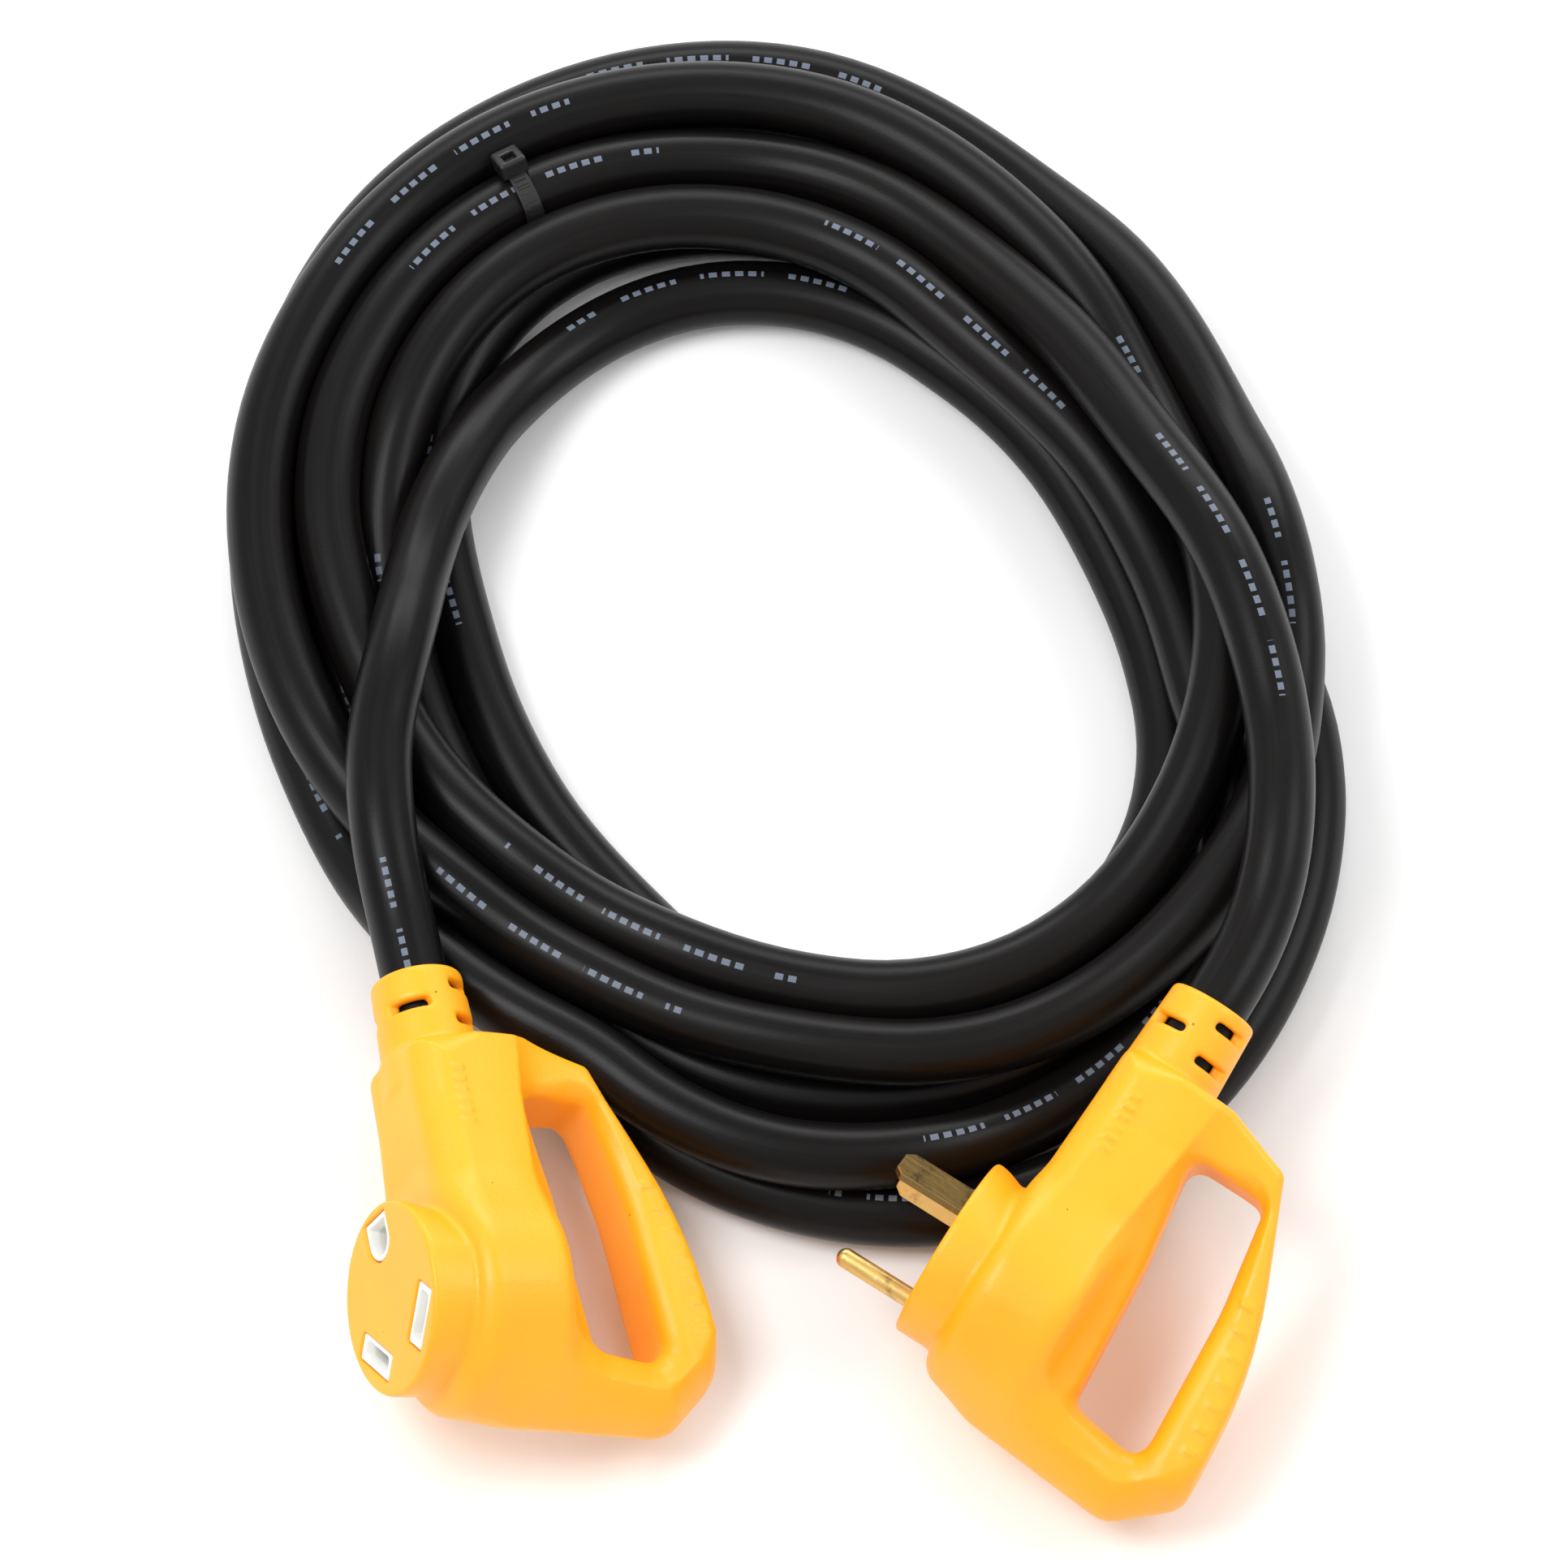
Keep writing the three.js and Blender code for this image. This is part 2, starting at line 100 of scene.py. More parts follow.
coil_low, coil_high = (np.array(corner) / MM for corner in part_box("cord_coil"))
ORIGIN = np.array([(coil_low[0] + coil_high[0]) / 2 + COIL_LEFT, coil_high[1] - COIL_BACK, 0.0])

# ---- camera ----

CAMERA_ELEVATION = math.radians(66)
CAMERA_DISTANCE = 2.2
CAMERA_TARGET = Vector((0.001, -0.0081, 0.020))
CAMERA_LENS = 210.2
SENSOR_WIDTH = 36.0


def make_camera():
    data = bpy.data.cameras.new("camera")
    data.lens = CAMERA_LENS
    data.sensor_width = SENSOR_WIDTH
    data.clip_end = 20.0
    camera = bpy.data.objects.new("camera", data)
    bpy.context.scene.collection.objects.link(camera)
    back = Vector((0, -math.cos(CAMERA_ELEVATION), math.sin(CAMERA_ELEVATION)))
    camera.location = CAMERA_TARGET + back * CAMERA_DISTANCE
    camera.rotation_euler = (math.pi / 2 - CAMERA_ELEVATION, 0, 0)
    bpy.context.scene.camera = camera


make_camera()

# ---- places ----


def unit(vectors):
    return vectors / np.linalg.norm(vectors, axis=-1, keepdims=True)


def place_matrix(place):
    """The turn of a housing's axes and the point where its mating face's centre lies."""
    at, turn, tilt, roll = place
    turned = Matrix.Rotation(math.radians(turn), 3, "Z")
    turned = turned @ Matrix.Rotation(-math.radians(tilt), 3, "Y")
    turned = turned @ Matrix.Rotation(math.radians(roll), 3, "X")
    return np.array(turned), ORIGIN + np.array(at)


def to_world(place, points):
    turned, at = place_matrix(place)
    return at + np.asarray(points, float) @ turned.T


def to_housing(place, points):
    turned, at = place_matrix(place)
    return (np.asarray(points, float) - at) @ turned


def housing_matrix(place):
    """The same place as an object's matrix, in metres."""
    turned, at = place_matrix(place)
    return Matrix.Translation(Vector(at * MM)) @ Matrix(turned.tolist()).to_4x4()


# ---- fields ----

SHARP = 1e-4  # a blend this small leaves an edge sharp
LONGEST_TRIM = 0.48  # a corner's curve takes no more than this share of a side
PULLS = 3  # a surface's points are pulled onto it this many times,
LONGEST_PULL = 0.4  # each time by no more than this share of a grid step


class Grid:
    """A box of sample points with the same step each way."""

    def __init__(self, low, high, step):
        self.low = np.array(low, float)
        self.step = step
        counts = np.ceil((np.array(high, float) - self.low) / step).astype(int) + 1
        axes = [np.float32(self.low[i] + step * np.arange(counts[i])) for i in range(3)]
        self.x = axes[0][:, None, None]
        self.y = axes[1][None, :, None]
        self.z = axes[2][None, None, :]

    def sample(self, field, points):
        """The field between its samples, by blending the eight around each point."""
        place = (points - self.low) / self.step
        place = np.clip(place, 0, np.array(field.shape) - 1.001)
        cell = place.astype(int)
        part = place - cell
        value = np.zeros(len(points))
        for corner in np.ndindex(2, 2, 2):
            weight = np.prod(np.where(corner, part, 1 - part), axis=1)
            value += weight * field[tuple((cell + corner).T)]
        return value


def gradient(value_at, points, half):
    """How fast a value changes along each axis, from its values this far to each side."""
    sides = [value_at(points + half * way) - value_at(points - half * way) for way in np.eye(3)]
    return np.stack(sides, axis=1) / (2 * half)


def joined(a, b, blend=SHARP):
    """The union of two fields, with a fillet of about this size where they meet."""
    near = np.clip(0.5 + 0.5 * (b - a) / blend, 0, 1)
    return b + (a - b) * near - blend * near * (1 - near)


def carved(a, b, blend=SHARP):
    """Field a with field b cut out of it."""
    return -joined(-a, b, blend)


def rounded(flat, deep, radius):
    """Where both distances are negative, with the edge between them rounded."""
    outside = np.hypot(np.maximum(flat + radius, 0), np.maximum(deep + radius, 0))
    return outside + np.minimum(np.maximum(flat + radius, deep + radius), 0) - radius


def layer(value, low, high):
    """The distance to the layer between two values, negative inside it."""
    return np.maximum(value - high, low - value)


def progress(value, start, end):
    """How far a value has come from start to end, as a share kept between 0 and 1."""
    return np.clip((value - start) / (end - start), 0, 1)


def box_field(x, y, z, size, radius=0.0):
    """A box about the origin, with all its edges rounded."""
    gaps = [np.abs(value) - width / 2 + radius for value, width in zip((x, y, z), size)]
    outside = np.sqrt(sum(np.maximum(gap, 0) ** 2 for gap in gaps))
    return outside + np.minimum(np.maximum(np.maximum(gaps[0], gaps[1]), gaps[2]), 0) - radius


def corner_path(corners, steps=6):
    """A closed outline from corners (x, y, radius), each cut by a curve of about that radius."""
    path = []
    for i, (x, y, radius) in enumerate(corners):
        here = np.array([x, y])
        before = np.array(corners[i - 1][:2]) - here
        after = np.array(corners[i + 1 - len(corners)][:2]) - here
        reach = [np.linalg.norm(side) for side in (before, after)]
        cosine = before @ after / (reach[0] * reach[1])
        trim = min(radius / math.tan(math.acos(cosine) / 2), LONGEST_TRIM * min(reach))
        start = here + before / reach[0] * trim
        end = here + after / reach[1] * trim
        for t in np.linspace(0, 1, steps):
            path.append((1 - t) ** 2 * start + 2 * t * (1 - t) * here + t * t * end)
    return np.array(path)


def outline_field(x, y, outline):
    """The signed distance in the plane to a closed outline, negative inside."""
    px, py = np.broadcast_arrays(x, y)
    nearest = np.full(px.shape, np.inf)
    inside = np.zeros(px.shape, bool)
    for (ax, ay), (bx, by) in zip(outline, np.roll(outline, -1, axis=0)):
        ex, ey = bx - ax, by - ay
        if ex == 0 and ey == 0:
            continue
        t = np.clip(((px - ax) * ex + (py - ay) * ey) / (ex * ex + ey * ey), 0, 1)
        nearest = np.minimum(nearest, (px - ax - t * ex) ** 2 + (py - ay - t * ey) ** 2)
        if ay != by:
            inside ^= ((ay > py) != (by > py)) & (px < ax + (py - ay) / (by - ay) * ex)
    return np.float32(np.where(inside, -1, 1) * np.sqrt(nearest))


def surface_of(field, grid):
    """Points and four-sided faces of the surface where the field is zero, facing its positive side."""
    inside = field < 0
    shape = np.array(field.shape) - 1
    count = np.zeros(shape, np.int8)
    for i, j, k in np.ndindex(2, 2, 2):
        count += inside[i:shape[0] + i, j:shape[1] + j, k:shape[2] + k]
    active = (count > 0) & (count < 8)
    cells = np.argwhere(active)
    index = np.zeros(shape, int)
    index[active] = np.arange(len(cells))

    total = np.zeros((len(cells), 3))
    hits = np.zeros(len(cells))
    for axis in range(3):
        along = np.eye(3, dtype=int)[axis]
        for a, b in np.ndindex(2, 2):
            start = a * np.roll(along, 1) + b * np.roll(along, 2)
            first = field[tuple((cells + start).T)]
            second = field[tuple((cells + start + along).T)]
            crosses = (first < 0) != (second < 0)
            t = first[crosses] / (first[crosses] - second[crosses])
            total[crosses] += start + t[:, None] * along
            hits += crosses
    points = grid.low + grid.step * (cells + total / hits[:, None])

    faces = []
    for axis in range(3):
        u = (axis + 1) % 3
        v = (axis + 2) % 3
        first = np.take(inside, range(shape[axis]), axis)
        second = np.take(inside, range(1, shape[axis] + 1), axis)
        edges = np.argwhere(first != second)
        keep = (edges[:, [u, v]] > 0).all(1) & (edges[:, [u, v]] < shape[[u, v]]).all(1)
        edges = edges[keep]
        ways = np.eye(3, dtype=int)
        corners = (-ways[u] - ways[v], -ways[v], 0 * ways[u], -ways[u])
        quad = np.stack([index[tuple((edges + corner).T)] for corner in corners], axis=1)
        outward = first[tuple(edges.T)]
        quad[~outward] = quad[~outward][:, ::-1]
        faces.append(quad)

    for _ in range(PULLS):
        slope = gradient(lambda at: grid.sample(field, at), points, grid.step / 2)
        steep = np.maximum((slope ** 2).sum(1), 0.1)
        move = (grid.sample(field, points) / steep)[:, None] * slope
        longest = LONGEST_PULL * grid.step
        points = points - np.clip(move, -longest, longest)
    return points, np.concatenate(faces)


# ---- meshes ----


def mesh_object(name, points, faces, smooth=True, matrix=None):
    """A new object from points in millimetres."""
    data = bpy.data.meshes.new(name)
    data.from_pydata((np.asarray(points, float) * MM).tolist(), [], [list(face) for face in faces])
    data.polygons.foreach_set("use_smooth", [smooth] * len(data.polygons))
    data.update()
    made = bpy.data.objects.new(name, data)
    bpy.context.scene.collection.objects.link(made)
    if matrix is not None:
        made.matrix_world = matrix
    return made


def in_frame(piece, material, slot, *nodes):
    """Gives a piece its material and its body, and hides the CAD nodes that it stands for. The slot is
    not used.
    """
    piece.data.materials.append(material)
    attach(piece, "root")
    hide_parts(*nodes)
    return piece


def ring_faces(rows, sides):
    """The faces between rings of points that follow one another, and the two end faces."""
    faces = []
    for low in range(0, sides * (rows - 1), sides):
        for j in range(sides):
            k = (j + 1) % sides
            faces.append((low + j, low + sides + j, low + sides + k, low + k))
    last = (rows - 1) * sides
    return [*faces, tuple(range(sides)), tuple(reversed(range(last, last + sides)))]


def circle(sides):
    """This many points round a circle of radius 1."""
    angle = 2 * math.pi * np.arange(sides) / sides
    return np.stack([np.cos(angle), np.sin(angle)], axis=1)


def swept(path, section, wide=None):
    """Points and faces of a closed section carried along an open path, with both ends closed. The
    section's first axis lies level, or along wide."""
    ahead = unit(np.gradient(path, axis=0))
    side = unit(np.cross(ahead, [0, 0, 1]) if wide is None else np.broadcast_to(wide, path.shape))
    over = np.cross(side, ahead)
    rings = path[:, None] + section[:, 0, None] * side[:, None] + section[:, 1, None] * over[:, None]
    return rings.reshape(-1, 3), ring_faces(len(path), len(section))


# ---- housing: one moulding, used at both ends ----

HOUSING_STEP = 0.64

OUTLINE = corner_path([
    (61.8, -11.8, 3), (20, -10.4, 6), (-26, -11.4, 5), (-32.4, -25, 18), (-35.8, -65.6, 9),
    (-23.4, -79.4, 8), (14, -76.4, 110), (55.0, -58.6, 3), (61.0, -41.2, 4),
])
GRIP_HOLE = corner_path([
    (47.8, -38.4, 5), (46.6, -58.6, 4), (20, -63, 70),
    (-19.6, -65.4, 5), (-16.4, -45.2, 4.5), (20, -42.6, 60),
])
RAISED_BODY = corner_path([
    (66, -38.5, 1), (-8, -30, 6), (-18.5, -40, 8), (-22, -60, 16), (-22, -90, 1), (-60, -90, 1),
    (-60, 6, 1), (66, 6, 1),
])
HANDLE_EDGE = 2.4  # radii of the moulding's edges: round the handle,
GRIP_EDGE = 5.4  # inside the handle, where the fingers go,
FRONT_EDGE = 9.5  # along the body's front
FOOT_EDGE = 12.5  # and at its foot
SWELL_EDGE = 4.5
BOSS_EDGE = 1.1
COLLAR_EDGE = 1.3
SWELL_FILLET = 6.0
BOSS_FILLET = 1.2
BOSS_FILLET_MORE = 2.0  # the boss's fillet is this much larger towards the cord
COLLAR_FILLET = 1.6
WALL_Y = -11.4  # the body's front wall, which the boss stands on
SWELL_BACK = -36.0  # the swell ends this far behind the face
SCOOP_DEPTH = 4.4  # how far the boss is scooped out towards the cord, by the wall
CREST_RISE = 5.5  # the body is this much thicker across the face than by the collar
LOW_RISE = 1.8  # and still this much thicker than the handle at its lower end

# Where the shape changes, along the cord (X) or across it (Y).
CREST_X = (45.0, -5.0)  # the body rises to its crest,
FOOT_X = (-31.0, -7.0)  # it rises out of its foot,
LOW_Y = (-26.0, -64.0)  # it sinks towards its lower end,
FRONT_EDGE_Y = (-27.0, -14.0)  # its edge grows to the front's
FOOT_EDGE_X = (-13.0, -25.0)  # and to the foot's,
GRIP_EDGE_Y = (-45.0, -53.0)  # the handle's edge grows to the grip's,
GRIP_MARGIN = 3.0  # over this far each side of the handle's middle,
SCOOP_X = (4.0, 18.0)  # and the scoop begins


def housing_half(grid, hole):
    """Half the moulding's thickness: level round the handle, rising in a facet to the body."""
    x, y = grid.x[:, :, 0], grid.y[:, :, 0]
    raised = np.maximum(outline_field(x, y, RAISED_BODY), 0)
    facet = np.maximum(hole, 0) / (raised + np.maximum(hole, 0) + 0.01)
    body = BODY_HALF - HANDLE_HALF + CREST_RISE * progress(x, *CREST_X)
    low = progress(y, *LOW_Y)
    rise = (body + (LOW_RISE - body) * low * low * (3 - 2 * low)) * progress(x, *FOOT_X)
    return (HANDLE_HALF + rise * facet)[:, :, None]


def housing_blank(grid):
    """The outside of the moulding: body, handle, boss and collar."""
    x, y, z = grid.x, grid.y, grid.z
    outer = outline_field(x[:, :, 0], y[:, :, 0], OUTLINE)
    hole = outline_field(x[:, :, 0], y[:, :, 0], GRIP_HOLE)
    front = progress(y, *FRONT_EDGE_Y)
    foot = progress(x, *FOOT_EDGE_X)
    nearer_hole = progress(np.abs(outer) - np.abs(hole), -GRIP_MARGIN, GRIP_MARGIN)[:, :, None]
    grip = nearer_hole * progress(y, *GRIP_EDGE_Y)
    edge = HANDLE_EDGE + np.maximum((FRONT_EDGE - HANDLE_EDGE) * front, (FOOT_EDGE - HANDLE_EDGE) * foot)
    edge = np.maximum(edge, HANDLE_EDGE + (GRIP_EDGE - HANDLE_EDGE) * grip)
    slab = rounded(carved(outer, hole)[:, :, None], np.abs(z) - housing_half(grid, hole), edge)

    from_axis = np.sqrt(x ** 2 + z ** 2)
    swell = rounded(from_axis - SWELL_RADIUS, layer(y, SWELL_BACK, WALL_Y), SWELL_EDGE)
    blank = joined(slab, swell, SWELL_FILLET)
    towards_cord = progress(x, *SCOOP_X)
    scoop = SCOOP_DEPTH * towards_cord * progress(y, 0, WALL_Y) ** 2
    boss = rounded(from_axis - FACE_RADIUS + scoop, layer(y, -BOSS_DEPTH, 0), BOSS_EDGE)
    blank = joined(blank, boss, BOSS_FILLET + BOSS_FILLET_MORE * towards_cord)

    along = progress(x, COLLAR_START, COLLAR_END)
    radius = COLLAR_ROOT_RADIUS + (COLLAR_TIP_RADIUS - COLLAR_ROOT_RADIUS) * along
    from_cord = np.hypot(y - CORD_AXIS_Y, z)
    collar = rounded(from_cord - radius, layer(x, COLLAR_START, COLLAR_END), COLLAR_EDGE)
    blank = joined(blank, collar, COLLAR_FILLET)
    return collar_slots(ribbed(blank, grid, outer[:, :, None]), grid)


# Low ribs on both sides: a row along the handle's band and a short one on the body by the collar.
# Each row has its first rib's X, the ribs' spacing, their number and half the width of one.
BAND_RIBS = (-12.0, 6.0, 7, 0.9)
BODY_RIBS = (37.0, 2.8, 6, 0.7)
RIB_HEIGHT = 0.35
RIB_FILLET = 0.3
RIB_ROOM = 4.0
RIB_START_Z = 6.0  # ribs are only on the two sides, this far from the middle plane
BAND_INSET = 4.2  # the band's middle lies this far inside the outline,
BAND_HALF = 1.7  # it is this wide each way
BAND_TOP = -55.0  # and it runs only below this
BODY_RIBS_Y = -20.0
BODY_RIBS_HALF = 1.5


def ribbed(blank, grid, outer):
    """Adds the ribs, which follow the surface that they stand on."""
    band = np.maximum(np.abs(outer + BAND_INSET) - BAND_HALF, grid.y - BAND_TOP)
    body = np.broadcast_to(np.abs(grid.y - BODY_RIBS_Y) - BODY_RIBS_HALF, outer.shape)
    for (first, spacing, count, half_width), strip in ((BAND_RIBS, band), (BODY_RIBS, body)):
        for i in range(count):
            off = np.abs(grid.x - (first + spacing * i))
            near = off[:, 0, 0] < RIB_ROOM
            sides = np.maximum(strip[near], RIB_START_Z - np.abs(grid.z))
            rib = np.maximum(np.maximum(off[near] - half_width, sides), blank[near] - RIB_HEIGHT)
            blank[near] = joined(blank[near], rib, RIB_FILLET)
    return blank


# The collar's slots, on both sides of the moulding's middle plane: how far along the collar each
# lies, which side of the cord it is on, where it starts from the cord's axis and how deep it goes.
SLOTS = ((71.8, 1, 2.6, 3.6), (67.2, -1, 3.0, 4.2), (76.5, -1, 3.0, 4.2))
SLOT_HALF_WIDTH = 1.15
SLOT_CORNER = 1.0
SLOT_EDGE = 1.1


def collar_slots(blank, grid):
    """Cuts the slots that let the collar flex; they open outwards, the way the mould's slides pull."""
    for along, side, start, depth in SLOTS:
        off = side * (grid.y - CORD_AXIS_Y)
        slot = rounded(np.abs(grid.x - along) - SLOT_HALF_WIDTH, start - off, SLOT_CORNER)
        blank = carved(blank, np.maximum(slot, depth - np.abs(grid.z)), SLOT_EDGE)
    return blank


POCKET_Y = (-26.5, -3.6)  # the core's pocket runs between these, behind the face's wall
CHANNEL_AT = (16.5, -22.0)
CHANNEL_SIZE = (33.0, 13.0, 30.0)
BORE_START = 32.0
OPENING_Y = (-5.0, 3.0)  # an opening goes right through the face's wall between these


def housing_room(grid):
    """The room inside: the core's pocket, the wiring space behind it and the cord's bore."""
    x, y, z = grid.x, grid.y, grid.z
    pocket = np.maximum(np.sqrt(x ** 2 + z ** 2) - CORE_RADIUS - GAP, layer(y, *POCKET_Y))
    channel = box_field(x - CHANNEL_AT[0], y - CHANNEL_AT[1], z, CHANNEL_SIZE)
    bore = np.maximum(np.hypot(y - CORD_AXIS_Y, z) - BORE_RADIUS, BORE_START - x)
    return joined(joined(pocket, channel), bore)


def leaning(grid, side, apex):
    """Coordinates along and across a blade slot, which leans at 45 degrees."""
    angle = math.radians(45) * side * apex
    x = grid.x - BLADE_OFFSET * apex
    z = grid.z - BLADE_SPREAD * side
    return x * math.cos(angle) - z * math.sin(angle), x * math.sin(angle) + z * math.cos(angle)


def blade_shape(grid, side, apex, size, corner):
    """The outline of a blade, of its slot or of the slot's rim."""
    along, across = leaning(grid, side, apex)
    return rounded(np.abs(along) - size[0] / 2, np.abs(across) - size[1] / 2, corner)


def ground_shape(grid, radius):
    """The ground slot's outline: flat towards the cord, round towards the blades."""
    x = grid.x - GROUND_OFFSET
    round_part = np.hypot(x, grid.z) - radius
    square_part = np.maximum(np.maximum(np.abs(grid.z) - radius, x - radius), -x)
    return np.minimum(round_part, square_part)


housing_grid = Grid((-38, -82, -29), (85, 2, 29), HOUSING_STEP)
housing_solid = housing_blank(housing_grid)


def housing_shell(name, place, blade_size, apex, ground):
    """One end's hollow moulding, with its openings for two blades or rims and a ground part."""
    field = carved(housing_solid, housing_room(housing_grid))
    size = (blade_size[0] + 2 * GAP, blade_size[1] + 2 * GAP)
    flats = [blade_shape(housing_grid, side, apex, size, BLADE_CORNER) for side in (1, -1)]
    for flat in (*flats, ground):
        field = carved(field, np.maximum(flat, layer(housing_grid.y, *OPENING_Y)))
    points, faces = surface_of(field, housing_grid)
    return mesh_object(name, points, faces, matrix=housing_matrix(place))


def plug_shell():
    pin = np.hypot(housing_grid.x + GROUND_OFFSET, housing_grid.z) - PIN_RADIUS - GAP
    return housing_shell("plug_shell", PLUG_PLACE, BLADE_SIZE, 1, pin)


def connector_shell():
    ground = ground_shape(housing_grid, GROUND_RIM + GAP)
    return housing_shell("connector_shell", CONNECTOR_PLACE, RIM_SIZE, -1, ground)


INSERT_STEP = 0.4
DISC_Y = (-13.0, -4.0)
RIM_Y = (-8.0, -0.2)
INSERT_EDGE = 0.5
RIM_EDGE = 0.35
SLOT_SIZE = (10.2, 2.7)
GROUND_SLOT_RADIUS = 3.3
MOUTH_EDGE = 0.2
FUNNEL_DEPTH = 2.4  # the slots widen over this depth, by these shares of it
BLADE_FUNNEL = 0.42
GROUND_FUNNEL = 0.35
CONTACT_POCKET = (10.6, 11.0, 5.1)
CONTACT_POCKET_Y = -12.0


def connector_insert():
    """The white core: a disc with a raised rim round each slot, seen through the housing's face."""
    grid = Grid((-20, -14, -20), (22, 1, 20), INSERT_STEP)
    x, y, z = grid.x, grid.y, grid.z
    deep = layer(y, *RIM_Y)
    funnel = np.clip(y + FUNNEL_DEPTH, 0, FUNNEL_DEPTH)
    disc = rounded(np.sqrt(x ** 2 + z ** 2) - CORE_RADIUS, layer(y, *DISC_Y), INSERT_EDGE)
    field = joined(disc, rounded(ground_shape(grid, GROUND_RIM), deep, RIM_EDGE))
    field = carved(field, ground_shape(grid, GROUND_SLOT_RADIUS) - GROUND_FUNNEL * funnel, MOUTH_EDGE)
    for side in (1, -1):
        rim = blade_shape(grid, side, -1, RIM_SIZE, INSERT_EDGE)
        field = joined(field, rounded(rim, deep, RIM_EDGE))
        slot = blade_shape(grid, side, -1, SLOT_SIZE, BLADE_CORNER)
        field = carved(field, slot - BLADE_FUNNEL * funnel, MOUTH_EDGE)
        along, across = leaning(grid, side, -1)
        field = carved(field, box_field(along, y - CONTACT_POCKET_Y, across, CONTACT_POCKET))
    points, faces = surface_of(field, grid)
    return mesh_object("connector_insert", points, faces, matrix=housing_matrix(CONNECTOR_PLACE))


# ---- cord route ----

# How far each turn lies from the coil's centre, at every hour of the clock from eight o'clock on,
# going clockwise. The first turn starts at the connector and the last one ends at the plug.
COIL_CENTRE = (0.0, 33.35)
FIRST_TURN = 150
HOUR = 30
TURNS = (
    (108, 93, 95, 105, 110, 101, 91, 94, 107, 103, 92, 74),
    (71, 80, 104, 129, 120, 100, 104, 119, 139, 148, 135, 111),
    (100, 108, 130, 149, 148, 128, 119, 114, 117, 116, 110, 99),
    (89, 94, 111, 127, 117, 96, 93, 100, 123, 132, 135, 118),
    (108, 115, 140, 164, 165, 137, 119, 120, 125, 115, 99, 96),
    (106, 122, 142, 154, 149, 127, 110, 109, 109, 102, 90, 83),
    (88, 102, 125, 141, 136, 109, 100, 110, 130),
)
# Degrees along the coil: the connector's tail lies on top of it up to the first, and at the bottom
# the last turn but one goes under the one before it.
TAIL_TURN = 248
UNDER_TURNS = (2198, 2312)
OVER_TURNS = (1838, 1952)

SAMPLES = 900
SPACING = 2 * CORD_RADIUS - 0.1
PARTS = 10  # route points to an hour
ROUGH_HEIGHT = 30.0  # about how high the coil lies where the ends join it
RUN_STEP = 4.0
STRAIGHT_BEYOND = 4.0  # the cord runs straight this far out of a collar
END_BEND = 62.0  # and then eases into the coil over about this far
NEAR_ALONG = 60.0  # stretches closer than this along the cord don't press on each other
NEAR_ACROSS = 10.0  # and neither do those with a gap wider than this between them
RING_SPACING = 3.0
CORD_SIDES = 28

# The first heights: rounds of laying each stretch on those below it, and of bridging the gaps.
LAYING_ROUNDS = 12
BRIDGING_ROUNDS = 80
SAG = 0.03

# Settling: at each step the cord sinks, stays near its route, evens out its height and is pushed
# apart where it touches itself. At the end the places that bend more tightly than this are eased.
SETTLE_STEPS = 300
SINK = 0.1
DRIFT_ROUNDS = 4
DRIFT_KEPT = 0.97
EVENING = 0.4
CONTACT_ROUNDS = 3
LEAST_RISE = 3.0  # an upper stretch is pushed up as if it lay at least this far above
OVERSHOOT = 1.6
TIGHTEST_BEND = 72.0
EASING_PASSES = 60

HOUSING_MIDDLE = (15.0, -35.0, 0.0)
HOUSING_REACH = 95.0
LONGEST_PUSH = 2.0


def smooth_line(values, parts):
    """Extra values between the given ones, on a smooth curve through them."""
    values = np.pad(np.asarray(values, float), (1, 2), "edge")
    before, here, after, later = values[:-3], values[1:-2], values[2:-1], values[3:]
    line = []
    for t in np.arange(parts) / parts:
        pull = ((2 - t) * t - 1) * t, (3 * t - 5) * t * t + 2, ((4 - 3 * t) * t + 1) * t, (t - 1) * t * t
        line.append((pull[0] * before + pull[1] * here + pull[2] * after + pull[3] * later) / 2)
    return np.stack(line, axis=1).ravel()[: parts * (len(here) - 1) + 1]


def arc_length(path):
    return np.r_[0, np.cumsum(np.linalg.norm(np.diff(path[:, :3], axis=0), axis=1))]


def evenly(path, count):
    """The same path with this many points, evenly spaced along it."""
    reach = arc_length(path)
    wanted = np.linspace(0, reach[-1], count)
    return np.stack([np.interp(wanted, reach, column) for column in path.T], axis=1)


def neighbours(values):
    """The mean of each value's two neighbours; the first and last keep their own."""
    mean = values.copy()
    mean[1:-1] = (values[:-2] + values[2:]) / 2
    return mean


def end_run(place):
    """The straight run of the cord inside a collar and just beyond it, from the inside out."""
    steps = np.arange(JACKET_END, COLLAR_END + STRAIGHT_BEYOND, RUN_STEP)
    return to_world(place, [(x, CORD_AXIS_Y, 0) for x in steps])


def eased(start, way, end, end_way):
    """A smooth run from one point and direction to another."""
    t = np.linspace(0, 1, 12)[1:-1, None]
    span = np.linalg.norm(end - start)
    run = (1 + 2 * t) * (1 - t) ** 2 * start + t * t * (3 - 2 * t) * end
    return run + span * t * (1 - t) * ((1 - t) * way - t * end_way)


def joined_to_coil(run, plan):
    """The run out of a housing and the coil's plan, with a smooth stretch between them."""
    first = np.argmax(np.linalg.norm(plan[:, :2] - run[-1, :2], axis=1) >= END_BEND)
    way = unit(run[-1] - run[-2])
    end_way = unit(plan[first + 1] - plan[first])
    return np.concatenate([run, eased(run[-1], way, plan[first], end_way)]), first


